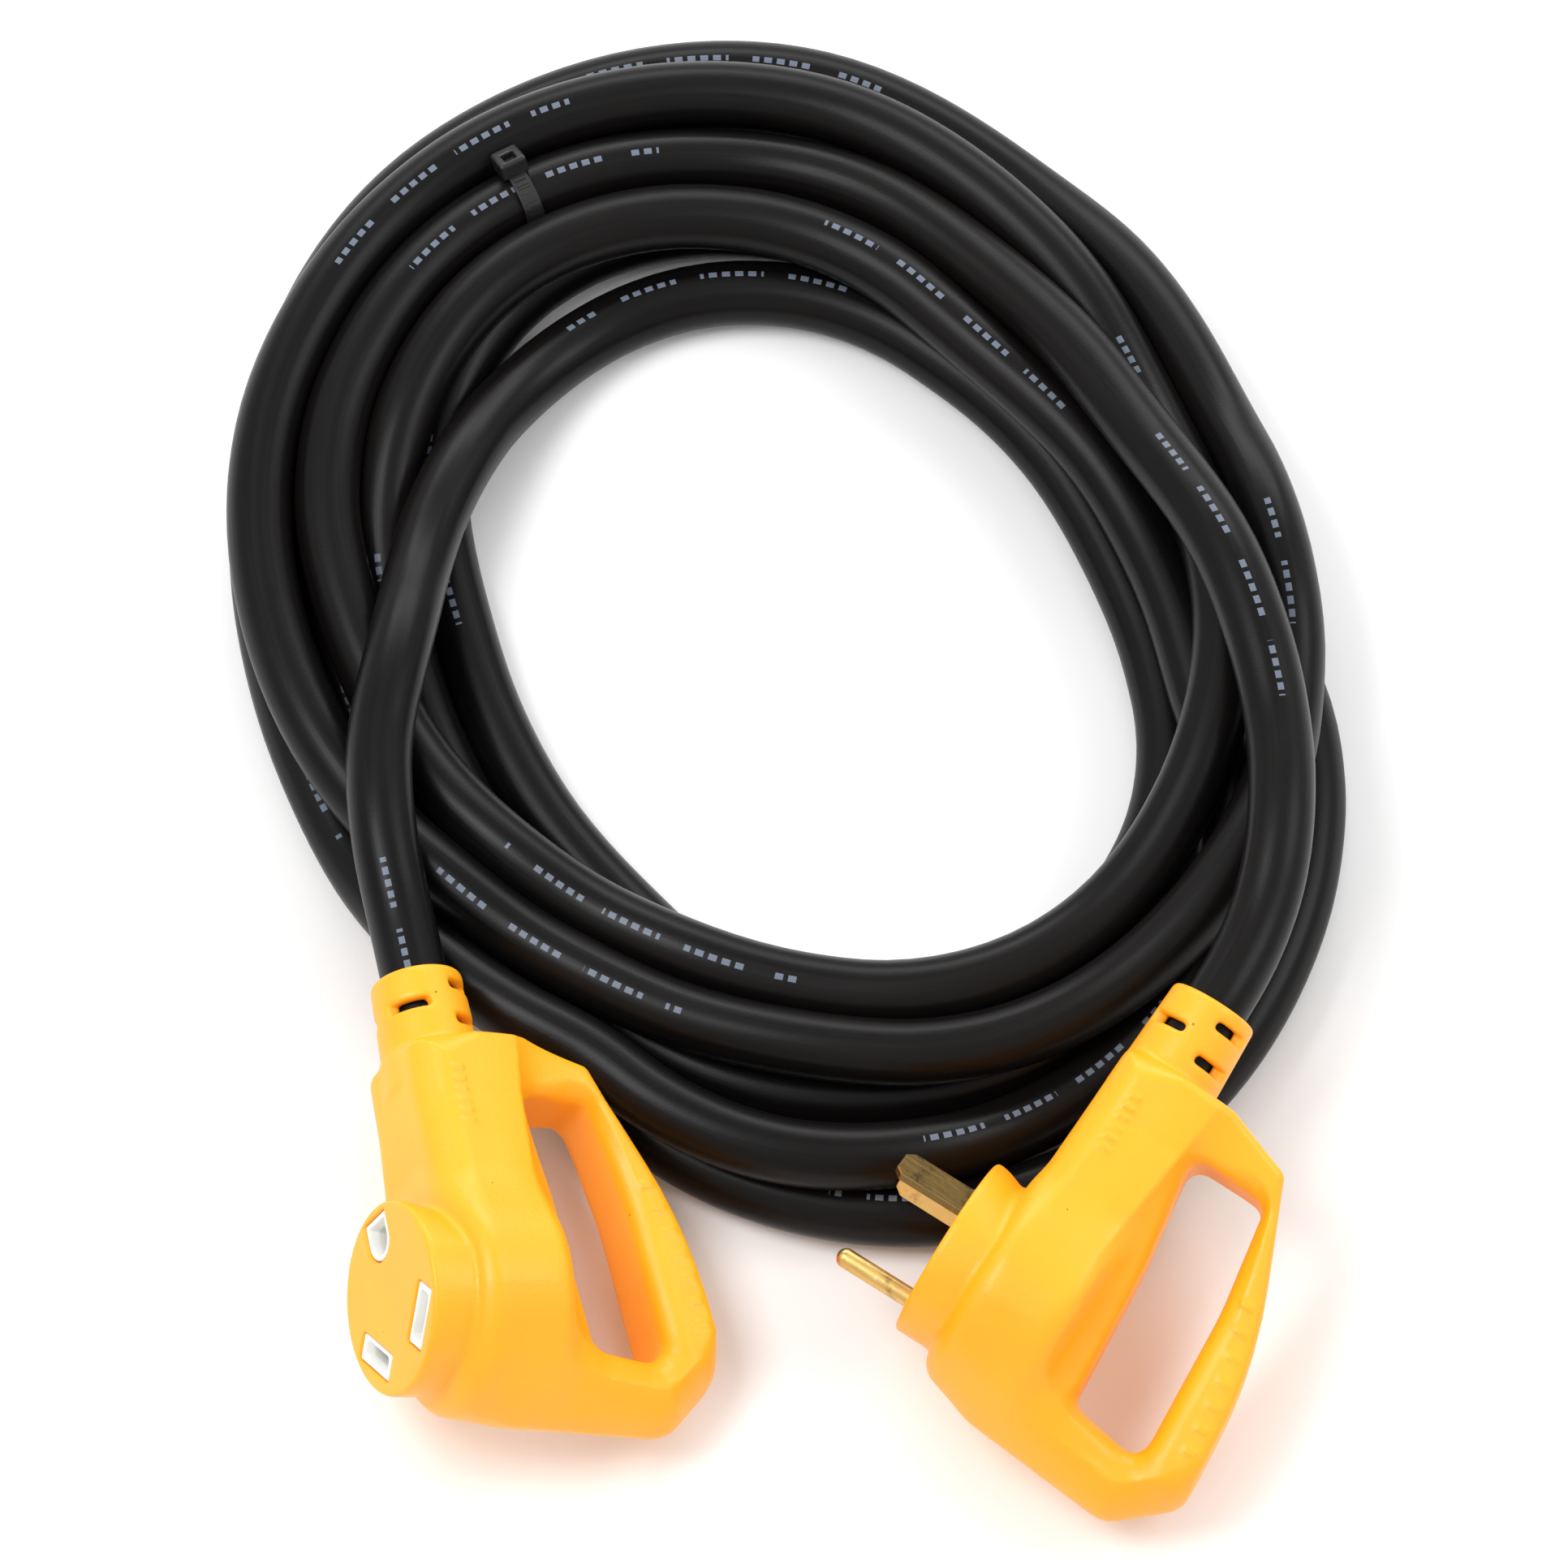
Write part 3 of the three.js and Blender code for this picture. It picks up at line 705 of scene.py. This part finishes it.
def laid_route():
    """The cord's route before it settles, its turns in degrees and which of its points are held."""
    radii = smooth_line([radius for turn in TURNS for radius in turn], PARTS)
    turns = FIRST_TURN + HOUR / PARTS * np.arange(len(radii))
    angle = np.radians(turns)
    plan = np.stack([radii * np.cos(angle), -radii * np.sin(angle), 0 * angle], axis=1)
    plan += ORIGIN + np.array([*COIL_CENTRE, ROUGH_HEIGHT])
    runs = [end_run(CONNECTOR_PLACE), end_run(PLUG_PLACE)]
    start, skipped = joined_to_coil(runs[0], plan)
    end, dropped = joined_to_coil(runs[1], plan[::-1])
    middle = slice(skipped, len(plan) - dropped)
    route = np.concatenate([start, plan[middle], end[::-1]])
    turns = np.concatenate([0 * start[:, 0] + turns[0], turns[middle], 0 * end[:, 0] + turns[-1]])
    route = evenly(np.column_stack([route, turns]), SAMPLES)
    reach = arc_length(route)
    held = (reach <= arc_length(runs[0])[-1]) | (reach >= reach[-1] - arc_length(runs[1])[-1])
    return route[:, :3], route[:, 3], held


def stacking(reach, turns):
    """Which stretch lies on which: a higher rank lies on a lower one."""
    rank = reach.copy()
    rank[turns < TAIL_TURN] += reach[-1]
    over = layer(turns, *OVER_TURNS) <= 0
    rank[layer(turns, *UNDER_TURNS) <= 0] = reach[over].min() - 1
    return rank


def first_heights(route, flat, rank, apart, held):
    """Heights at which each stretch rests on the ones below it, bridging the gaps with a slight sag."""
    below = (rank[None] < rank[:, None]) & (flat < SPACING) & apart
    lift = np.sqrt(np.maximum(SPACING ** 2 - flat ** 2, 0))
    height = np.where(held, route[:, 2], CORD_RADIUS)
    for _ in range(LAYING_ROUNDS):
        rest = np.maximum(CORD_RADIUS, np.where(below, height[None] + lift, 0).max(axis=1))
        rest = np.where(held, route[:, 2], rest)
        height = rest.copy()
        for _ in range(BRIDGING_ROUNDS):
            height = np.where(held, rest, np.maximum(rest, neighbours(height) - SAG))
    return height


def housing_gap(place, points):
    """The distance from each point to the outside of a housing."""
    local = to_housing(place, points)
    low = housing_grid.low
    high = low + housing_grid.step * (np.array(housing_solid.shape) - 1)
    kept = np.clip(local, low, high)
    return housing_grid.sample(housing_solid, kept) + np.linalg.norm(local - kept, axis=1)


def push_off_housings(path, free):
    """Moves the cord out of the two housings where it runs under or beside them."""
    for place in (PLUG_PLACE, CONNECTOR_PLACE):
        centre = to_world(place, [HOUSING_MIDDLE])[0]
        close = np.flatnonzero(free & (np.linalg.norm(path - centre, axis=1) < HOUSING_REACH))
        points = path[close]
        slope = gradient(lambda at: housing_gap(place, at), points, 1.0)
        slope /= np.maximum(np.linalg.norm(slope, axis=1), 0.05)[:, None]
        depth = CORD_RADIUS + GAP - housing_gap(place, points)
        path[close] += slope * np.clip(depth, 0, LONGEST_PUSH)[:, None]


def contact_push(path, upper, lower):
    """How far each point is pushed away from the stretches that it touches."""
    between = path[upper] - path[lower]
    between[:, 2] = np.maximum(between[:, 2], LEAST_RISE)
    distance = np.linalg.norm(between, axis=1)
    touching = distance < SPACING
    push = between[touching] / distance[touching, None]
    push *= (SPACING - distance[touching, None]) / 4
    moved = np.zeros_like(path)
    times = np.zeros(len(path))
    for points, way in ((upper[touching], 1), (lower[touching], -1)):
        np.add.at(moved, points, way * push)
        np.add.at(times, points, 1)
    return OVERSHOOT * moved / np.maximum(times, 1)[:, None]


def ease_bends(path, held):
    """Smooths the line a little, and then only where it bends too tightly."""
    loose = ~held
    loose[1:] |= ~held[:-1]
    loose[:-1] |= ~held[1:]
    for _ in range(3):
        path[loose] = ((path + neighbours(path)) / 2)[loose]
    spacing = arc_length(path)[-1] / (len(path) - 1)
    for _ in range(EASING_PASSES):
        sag = neighbours(path) - path
        tight = ~held & (2 * np.linalg.norm(sag, axis=1) * TIGHTEST_BEND > spacing ** 2)
        path[tight] += 0.5 * sag[tight]
    path[:, 2] = np.maximum(path[:, 2], CORD_RADIUS)


def settled_cord():
    """The cord's centre line after it has sunk under its weight onto the floor and itself."""
    route, turns, held = laid_route()
    reach = arc_length(route)
    apart = np.abs(reach[:, None] - reach[None]) > NEAR_ALONG
    rank = stacking(reach, turns)
    flat = np.linalg.norm(route[:, None, :2] - route[None, :, :2], axis=2)
    path = route.copy()
    path[:, 2] = first_heights(route, flat, rank, apart, held)
    upper, lower = np.nonzero((flat < SPACING + NEAR_ACROSS) & (rank[:, None] > rank[None]) & apart)
    for _ in range(SETTLE_STEPS):
        path[:, 2] -= SINK
        drift = path[:, :2] - route[:, :2]
        for _ in range(DRIFT_ROUNDS):
            drift = (drift + neighbours(drift)) / 2
        path[:, :2] = route[:, :2] + DRIFT_KEPT * drift
        path[:, 2] += EVENING * (neighbours(path[:, 2]) - path[:, 2])
        for _ in range(CONTACT_ROUNDS):
            path += contact_push(path, upper, lower)
            path[:, 2] = np.maximum(path[:, 2], CORD_RADIUS)
            path[held] = route[held]
        push_off_housings(path, ~held)
        path[:, 2] = np.maximum(path[:, 2], CORD_RADIUS)
    ease_bends(path, held)
    return evenly(path, int(arc_length(path)[-1] / RING_SPACING))


def make_cord(path):
    """The jacket as one tube, with its length in metres along its map's second axis."""
    points, faces = swept(path, CORD_RADIUS * circle(CORD_SIDES))
    cord = mesh_object("cord_jacket", points, faces)
    around = cord.data.uv_layers.new(name="along_cord").data
    length = arc_length(path) * MM
    for face in cord.data.polygons:
        for loop in face.loop_indices:
            ring, side = divmod(cord.data.loops[loop].vertex_index, CORD_SIDES)
            seam = side == 0 and loop in face.loop_indices[2:]
            around[loop].uv = ((side + CORD_SIDES * seam) / CORD_SIDES, length[ring])
    return cord


# ---- materials ----


def new_material(name, **sockets):
    """A material, its tree, its shader with these values (_ stands for a space) and its coordinates."""
    made = bpy.data.materials.new(name)
    made.use_nodes = True
    tree = made.node_tree
    shader = tree.nodes["Principled BSDF"]
    set_inputs(tree, shader, {socket.replace("_", " "): value for socket, value in sockets.items()})
    return made, tree, shader, node(tree, "TexCoord").outputs["Object"]


def set_inputs(tree, made, inputs):
    """Sets a node's inputs, each to a value or to another node's output socket."""
    for socket, value in inputs.items():
        if isinstance(value, bpy.types.NodeSocket):
            tree.links.new(value, made.inputs[socket])
        else:
            made.inputs[socket].default_value = value


def node(tree, kind, inputs=None, **settings):
    made = tree.nodes.new(f"ShaderNode{kind}")
    for setting, value in settings.items():
        setattr(made, setting, value)
    set_inputs(tree, made, inputs or {})
    return made


def maths(tree, operation, first, second=0.0, third=0.0):
    inputs = {0: first, 1: second, 2: third}
    return node(tree, "Math", inputs, operation=operation).outputs[0]


def product(tree, first, *others):
    for other in others:
        first = maths(tree, "MULTIPLY", first, other)
    return first


def near_zero(tree, value, half):
    """1 where the value is within half of 0, 0 elsewhere."""
    return maths(tree, "LESS_THAN", maths(tree, "ABSOLUTE", value), half)


def mixed(tree, share, first, second):
    """The first colour, with the second one laid over it where the share is 1."""
    inputs = {0: share, 6: first, 7: (*second, 1)}
    return node(tree, "Mix", inputs, data_type="RGBA").outputs[2]


def noise(tree, coordinates, scale, detail=2.0, roughness=0.5):
    inputs = {"Vector": coordinates, "Scale": scale, "Detail": detail, "Roughness": roughness}
    return node(tree, "TexNoise", inputs).outputs["Fac"]


def ramp(tree, factor, *stops):
    """A colour ramp; each stop is a position and a colour."""
    made = node(tree, "ValToRGB", {"Fac": factor})
    elements = made.color_ramp.elements
    for i, (position, colour) in enumerate(stops):
        element = elements[i] if i < 2 else elements.new(position)
        element.position = position
        element.color = (*colour, 1)
    return made.outputs["Color"]


def spread(tree, factor, low, high):
    """Maps a noise value to a number between low and high."""
    inputs = {"Value": factor, "From Min": 0.3, "From Max": 0.7, "To Min": low, "To Max": high}
    return node(tree, "MapRange", inputs).outputs["Result"]


def surface(tree, shader, colour, roughness, height, distance, strength):
    """Gives the shader a colour, a roughness and a bump; distance is how high a bump of 1 is."""
    inputs = {"Height": height, "Distance": distance, "Strength": strength}
    normal = node(tree, "Bump", inputs).outputs["Normal"]
    set_inputs(tree, shader, {"Base Color": colour, "Roughness": roughness, "Normal": normal})


# The marks that the mould leaves, in metres and in a housing's own axes.
SEAM_HALF = 0.00014
COLLAR_SEAM_START = 0.062
RING_CENTRE = (0.028, -0.0125, 0.0153)
RING_RADIUS = 0.0042


def yellow_pvc():
    """Soft moulded PVC: nearly even colour with slight flow clouds, a fine grain and rare specks."""
    made, tree, shader, at = new_material(
        "yellow_pvc", Specular_IOR_Level=0.42, Coat_Weight=0.06, Coat_Roughness=0.3, IOR=1.5)
    clouds = noise(tree, at, 28, 3)
    colour = ramp(tree, clouds, (0.3, (0.97, 0.375, 0.006)), (0.7, (0.99, 0.42, 0.010)))
    cells = node(tree, "TexVoronoi", {"Vector": at, "Scale": 260.0}).outputs["Distance"]
    specks = maths(tree, "LESS_THAN", cells, 0.09)
    few = maths(tree, "GREATER_THAN", noise(tree, at, 90, 1), 0.66)
    colour = mixed(tree, product(tree, specks, few), colour, (0.45, 0.13, 0.01))
    gloss = spread(tree, noise(tree, at, 140, 3), 0.36, 0.47)
    grain = maths(tree, "MULTIPLY_ADD", noise(tree, at, 70), 2.0, noise(tree, at, 1500))
    height = maths(tree, "MULTIPLY_ADD", mould_lines(tree, at), 2.2, grain)
    surface(tree, shader, colour, gloss, height, 0.00012, 0.5)
    return made


def mould_lines(tree, at):
    """1 on the mould's parting lines and on the ring that an ejector pin left."""
    split = node(tree, "SeparateXYZ", {"Vector": at})
    x, y, z = (split.outputs[axis] for axis in "XYZ")
    on_collar = maths(tree, "GREATER_THAN", x, COLLAR_SEAM_START)
    off_cord = maths(tree, "SUBTRACT", y, CORD_AXIS_Y * MM)
    collar = product(tree, near_zero(tree, off_cord, SEAM_HALF), on_collar)
    body = near_zero(tree, z, SEAM_HALF)
    away = node(tree, "VectorMath", {0: at, 1: RING_CENTRE}, operation="DISTANCE").outputs["Value"]
    ring = near_zero(tree, maths(tree, "SUBTRACT", away, RING_RADIUS), SEAM_HALF)
    return maths(tree, "MAXIMUM", maths(tree, "MAXIMUM", collar, body), ring)


# Rows of plain dashes along the cord, in metres: how long each row is and how often it comes again,
# the spacing of its dashes and of its groups of dashes; then where it lies round the cord (0.25 is
# the top) and half its width, both as shares of the way round.
PRINTED = (0.078, 0.243, 0.0032, 0.0215, 0.262, 0.015)
RAISED = (0.13, 0.41, 0.0028, 0.0175, 0.180, 0.014)


def dashes(tree, around, length, row, again, pitch, group, place, half_width):
    """1 on the dashes, 0 elsewhere. The rows wander a little round the cord."""
    def within(every, share):
        place_in = maths(tree, "FRACT", maths(tree, "DIVIDE", length, every))
        return maths(tree, "LESS_THAN", place_in, share)
    sway = product(tree, maths(tree, "SINE", product(tree, length, 9.0)), 0.03)
    off = maths(tree, "SUBTRACT", maths(tree, "SUBTRACT", around, place), sway)
    spaced = within(again, row / again), within(group, 0.72), within(pitch, 0.62)
    return product(tree, *spaced, near_zero(tree, off, half_width))


def cord_rubber():
    """The jacket: satin black, with faint drawn streaks along it and a dusty bloom in patches."""
    made, tree, shader, at = new_material("cord_rubber", Specular_IOR_Level=0.15, IOR=1.5)
    along = node(tree, "UVMap", uv_map="along_cord").outputs["UV"]
    stretched = node(tree, "Mapping", {"Vector": along, "Scale": (26, 9, 1)}).outputs["Vector"]
    streaks = noise(tree, stretched, 1, 4, 0.6)
    clouds = noise(tree, at, 9, 3)
    patches = maths(tree, "MULTIPLY_ADD", streaks, 0.4, product(tree, clouds, 0.6))
    colour = ramp(tree, patches, (0.35, (0.0022, 0.0020, 0.0020)), (0.62, (0.0055, 0.0047, 0.0044)))
    split = node(tree, "SeparateXYZ", {"Vector": along})
    around, length = split.outputs["X"], split.outputs["Y"]
    colour = mixed(tree, dashes(tree, around, length, *PRINTED), colour, (0.13, 0.155, 0.2))
    raised = dashes(tree, around, length, *RAISED)
    fine = product(tree, noise(tree, at, 1800), 0.12)
    height = maths(tree, "MULTIPLY_ADD", raised, 0.8, maths(tree, "MULTIPLY_ADD", streaks, 0.35, fine))
    surface(tree, shader, colour, spread(tree, streaks, 0.27, 0.40), height, 0.0003, 0.5)
    return made


def brass(name, clean, dull, tarnish):
    """Rolled brass: drawn lines, mottled colour and dark patches of tarnish."""
    made, tree, shader, at = new_material(name, Metallic=1.0)
    patches = noise(tree, at, 170, 4, 0.65)
    colour = ramp(tree, patches, (0.36, dull), (0.46, clean), (0.62, clean), (0.74, tarnish))
    drawn = node(tree, "Mapping", {"Vector": at, "Scale": (900, 30, 900)}).outputs["Vector"]
    scratches = maths(tree, "ADD", noise(tree, drawn, 1), noise(tree, at, 700, 3))
    surface(tree, shader, colour, spread(tree, patches, 0.26, 0.5), scratches, 0.0001, 0.5)
    return made


def moulded(name, dark, light, roughness, specular=0.4):
    """A plain moulded surface: two close shades, uneven gloss and a fine grain."""
    made, tree, shader, at = new_material(name, Specular_IOR_Level=specular)
    clouds = noise(tree, at, 60, 3)
    colour = ramp(tree, clouds, (0.35, dark), (0.65, light))
    uneven = spread(tree, noise(tree, at, 200), roughness - 0.05, roughness + 0.06)
    surface(tree, shader, colour, uneven, noise(tree, at, 900), 0.0001, 0.4)
    return made


def copper_strands():
    """Bare stranded copper: fine twisted lines."""
    made, tree, shader, at = new_material("copper_strands", Metallic=1.0)
    waves = node(tree, "TexWave", {"Vector": at, "Scale": 700.0, "Distortion": 1.0}).outputs["Fac"]
    colour = ramp(tree, waves, (0.2, (0.45, 0.16, 0.07)), (0.8, (0.86, 0.4, 0.22)))
    gloss = spread(tree, noise(tree, at, 300), 0.28, 0.42)
    surface(tree, shader, colour, gloss, waves, 0.0002, 0.6)
    return made


# ---- contacts ----


def blade_blank(side, name):
    """One blade: a flat plate with its tip's corners cut off and all its edges broken."""
    half = BLADE_SIZE[0] / 2
    thick = BLADE_SIZE[1] / 2
    tip = half - BLADE_CHAMFER
    shoulder = BLADE_LENGTH - BLADE_CHAMFER
    right = [(half, BARREL_Y), (half, shoulder), (tip, BLADE_LENGTH)]
    outline = [*right, *((-x, y) for x, y in reversed(right))]
    points = [(x, y, z) for z in (thick, -thick) for x, y in outline]
    lean = Matrix.Rotation(math.radians(45) * side, 4, "Y")
    shift = Matrix.Translation((BLADE_OFFSET * MM, 0, side * BLADE_SPREAD * MM))
    place = housing_matrix(PLUG_PLACE) @ shift @ lean
    blade = mesh_object(name, points, ring_faces(2, len(outline)), smooth=False, matrix=place)
    edges = blade.modifiers.new("edges", "BEVEL")
    edges.width = BLADE_EDGE * MM
    edges.segments = 3
    return blade


def ground_pin():
    """The round ground pin, with a blunt domed tip."""
    dome = np.linspace(0, 1.45, 9)
    radii = PIN_RADIUS * np.r_[1, 1, np.cos(dome)]
    heights = np.r_[BARREL_Y, 0, PIN_LENGTH + PIN_DOME * (np.sin(dome) - 1)]
    rings = radii[:, None, None] * circle(PIN_SIDES)
    points = [(x - GROUND_OFFSET, y, z) for ring, y in zip(rings, heights) for x, z in ring]
    faces = ring_faces(len(radii), PIN_SIDES)
    return mesh_object("ground_pin", points, faces, matrix=housing_matrix(PLUG_PLACE))


# ---- cable tie ----

TIE_AT = (-62.0, 152.0)  # from the coil's origin
TIE_TURN = 118  # degrees from the X axis to the line across the turn that it holds
TIE_HOLDS = (2, 11)  # that turn crosses the tie's plane between these, along the line
TIE_WIDTH = 4.6
TIE_THICKNESS = 1.2
TIE_HEAD = (7.6, 7.2, 5.0)  # along the strap, across it and high
TIE_TAIL = 5.5  # the cut end stands out of the head this far
TAIL_RISE = 1.4  # and lies this far above the strap
TIE_CLEARANCE = 0.1
STRAP_CORNERS = 72
STRAP_STEP = 0.7
HEAD_STEP = 0.3
HEAD_EDGE = 0.9
HEAD_FACES = (0.6, 0.8)  # the way that the head faces, across the turn and up
WINDOW_SIZE = (3.4, 3.2, 4.4)
WINDOW_SHIFT = 0.8
WINDOW_EDGE = 0.3
TOOTH_PITCH = 1.3
TOOTH_SIZE = (0.6, 2.8, 0.4)
TOOTHED_SHARE = 0.45  # the teeth run this share of the way round


def held_turn(path, centre, across, wide):
    """The middle of the turn that the tie holds, where it crosses the tie's plane."""
    offset = (path - centre) @ wide
    for i in np.flatnonzero(offset[:-1] * offset[1:] < 0):
        share = offset[i] / (offset[i] - offset[i + 1])
        point = path[i] + share * (path[i + 1] - path[i])
        if TIE_HOLDS[0] < (point - centre) @ across < TIE_HOLDS[1]:
            return point
    raise ValueError("no turn to tie")


def tie_head():
    """The head in its own axes: a rounded block with a square window over the pawl."""
    corner = np.array(TIE_HEAD) / 2 + 1
    grid = Grid(-corner, corner, HEAD_STEP)
    head = box_field(grid.x, grid.y, grid.z, TIE_HEAD, HEAD_EDGE)
    window = box_field(grid.x - WINDOW_SHIFT, grid.y, grid.z - TIE_HEAD[2] / 2, WINDOW_SIZE, WINDOW_EDGE)
    return surface_of(carved(head, window, WINDOW_EDGE), grid)


def tie_strap(path, across, wide):
    """The strap's middle line round the turn, from the head and back to it."""
    centre = ORIGIN + np.array([*TIE_AT, 0])
    held = held_turn(path, centre, across, wide)
    loop = circle(STRAP_CORNERS)
    loop = np.roll(loop, -np.argmax(loop @ HEAD_FACES), axis=0)
    loop = (CORD_RADIUS + TIE_THICKNESS / 2 + TIE_CLEARANCE) * np.concatenate([loop, loop[:1]])
    strap = held + loop[:, :1] * across + loop[:, 1:] * np.array([0, 0, 1])
    strap[:, 2] = np.maximum(strap[:, 2], TIE_THICKNESS / 2 + TIE_CLEARANCE)
    return evenly(strap, int(arc_length(strap)[-1] / STRAP_STEP))


def cable_tie(path):
    """A nylon tie pulled tight round one turn, with its head high on one side and a cut tail."""
    turn = math.radians(TIE_TURN)
    across = np.array([math.cos(turn), math.sin(turn), 0])
    wide = np.array([-across[1], across[0], 0])
    strap = tie_strap(path, across, wide)
    onward = unit(strap[2] - strap[0])
    outward = np.cross(wide, onward)
    side = np.sign(outward[2])
    outward *= side
    thick = TIE_THICKNESS / 2
    corners = np.array([(-1, -1), (1, -1), (1, 1), (-1, 1)]) / 2
    section = corners * (TIE_WIDTH, TIE_THICKNESS)
    behind = np.array([[TIE_TAIL + TIE_HEAD[0] / 2], [TIE_HEAD[0] / 2], [0]])
    tail = strap[0] - behind * onward + TAIL_RISE * outward
    seat = strap[0] + (TIE_HEAD[2] / 2 - thick) * outward
    head_points, head_faces = tie_head()
    parts = [swept(strap, section, wide), swept(tail, section, wide)]
    parts.append((seat + head_points @ np.array([onward, -side * wide, outward]), head_faces))

    reach = arc_length(strap)
    for along in np.arange(TIE_HEAD[0] / 2 + TOOTH_SIZE[0], reach[-1] * TOOTHED_SHARE, TOOTH_PITCH):
        i = np.searchsorted(reach, along)
        ahead = unit(strap[i + 1] - strap[i - 1])
        middle = strap[i] + (thick + TIE_CLEARANCE) * side * np.cross(wide, ahead)
        tooth = middle + np.array([[-0.5], [0.5]]) * TOOTH_SIZE[0] * ahead
        parts.append(swept(tooth, corners * TOOTH_SIZE[1:], wide))

    points, faces = [], []
    for part_points, part_faces in parts:
        faces.extend(tuple(int(corner) + len(points) for corner in face) for face in part_faces)
        points.extend(part_points)
    return mesh_object("cable_tie", points, faces, smooth=False)


# ---- stage ----

FLOOR_REACH = 4000.0
FLOOR_DROP = 0.2

# Name, place, width and height in metres, and power. Each faces the middle of the object's floor.
LIGHTS = (
    ("key", (-0.7, -0.1, 1.4), (0.7, 0.7), 13),
    ("back", (0.1, 1.5, 0.9), (1.8, 0.5), 15),
    ("fill", (1.2, 0.2, 1.2), (0.8, 0.8), 8),
)


def make_stage():
    """A white floor, an even white sky and three soft lamps."""
    corners = [(x * FLOOR_REACH, y * FLOOR_REACH, 0) for x, y in ((-1, -1), (1, -1), (1, 1), (-1, 1))]
    floor = mesh_object("floor", corners, [(0, 1, 2, 3)], smooth=False)
    floor.location.z = -FLOOR_DROP * MM
    made, tree, shader, at = new_material("floor", Roughness=0.9, Specular_IOR_Level=0.1)
    clouds = noise(tree, at, 3)
    colour = ramp(tree, clouds, (0.3, (0.90, 0.90, 0.90)), (0.7, (0.92, 0.92, 0.92)))
    set_inputs(tree, shader, {"Base Color": colour})
    floor.data.materials.append(made)

    world = bpy.data.worlds.new("studio")
    bpy.context.scene.world = world
    world.use_nodes = True
    sky = world.node_tree
    set_inputs(sky, sky.nodes["Background"], {"Color": (1, 1, 1, 1), "Strength": 0.8})
    for name, place, size, power in LIGHTS:
        data = bpy.data.lights.new(name, "AREA")
        data.shape = "RECTANGLE"
        data.size, data.size_y = size
        data.energy = power
        light = bpy.data.objects.new(name, data)
        bpy.context.scene.collection.objects.link(light)
        light.location = place
        light.rotation_euler = (-Vector(place)).to_track_quat("-Z", "Y").to_euler()
    bpy.context.scene.view_settings.view_transform = "Standard"


# ---- the whole object ----


def build():
    yellow = yellow_pvc()
    rubber = cord_rubber()
    white = moulded("white_insulator", (0.72, 0.71, 0.67), (0.8, 0.79, 0.75), 0.42)
    nylon = moulded("tie_nylon", (0.006, 0.006, 0.0065), (0.012, 0.012, 0.013), 0.36, specular=0.5)
    bright = brass("brass_bright", (0.72, 0.47, 0.16), (0.5, 0.3, 0.11), (0.78, 0.62, 0.36))
    # painted shade: a dark copy of the brass for the line blade, as if the coil shades it
    shaded_brass = brass("brass_painted_shade", (0.2, 0.13, 0.045), (0.11, 0.075, 0.03), (0.4, 0.27, 0.09))

    path = settled_cord()
    cord_nodes = ("cord_coil", "cord_plug_end", "cord_connector_end")
    cord = in_frame(make_cord(path), rubber, "cord_jacket", *cord_nodes)
    connector = in_frame(connector_shell(), yellow, "yellow_pvc", "connector_housing")
    in_frame(plug_shell(), yellow, "yellow_pvc", "plug_housing")
    insert = in_frame(connector_insert(), white, "white_insulator", "connector_core")
    # the line blade gets the brass with painted shade
    in_frame(blade_blank(1, "blade_line"), shaded_brass, "contact_brass", "plug_line_blade")
    in_frame(blade_blank(-1, "blade_neutral"), bright, "contact_brass", "plug_neutral_blade")
    in_frame(ground_pin(), bright, "contact_brass", "plug_ground_pin")
    inner = {
        "white_insulator": white,
        "contact_brass": bright,
        "copper": copper_strands(),
        "tie_nylon": nylon,
        "line_insulation": moulded("line_insulation", (0.01, 0.01, 0.01), (0.016, 0.016, 0.016), 0.4),
        "neutral_insulation": moulded("neutral_insulation", (0.74, 0.74, 0.72), (0.82, 0.82, 0.8), 0.4),
        "ground_insulation": moulded("ground_insulation", (0.02, 0.15, 0.035), (0.035, 0.21, 0.05), 0.4),
    }
    slots = {part["node"]: part["material_slot"] for part in frame["record"]["subparts"]}
    for name, carried in frame["nodes"].items():
        if slots[name] in inner:
            carried.data.materials.clear()
            carried.data.materials.append(inner[slots[name]])
    in_frame(cable_tie(path), nylon, "tie_nylon", "cable_tie")

    make_stage()


build()
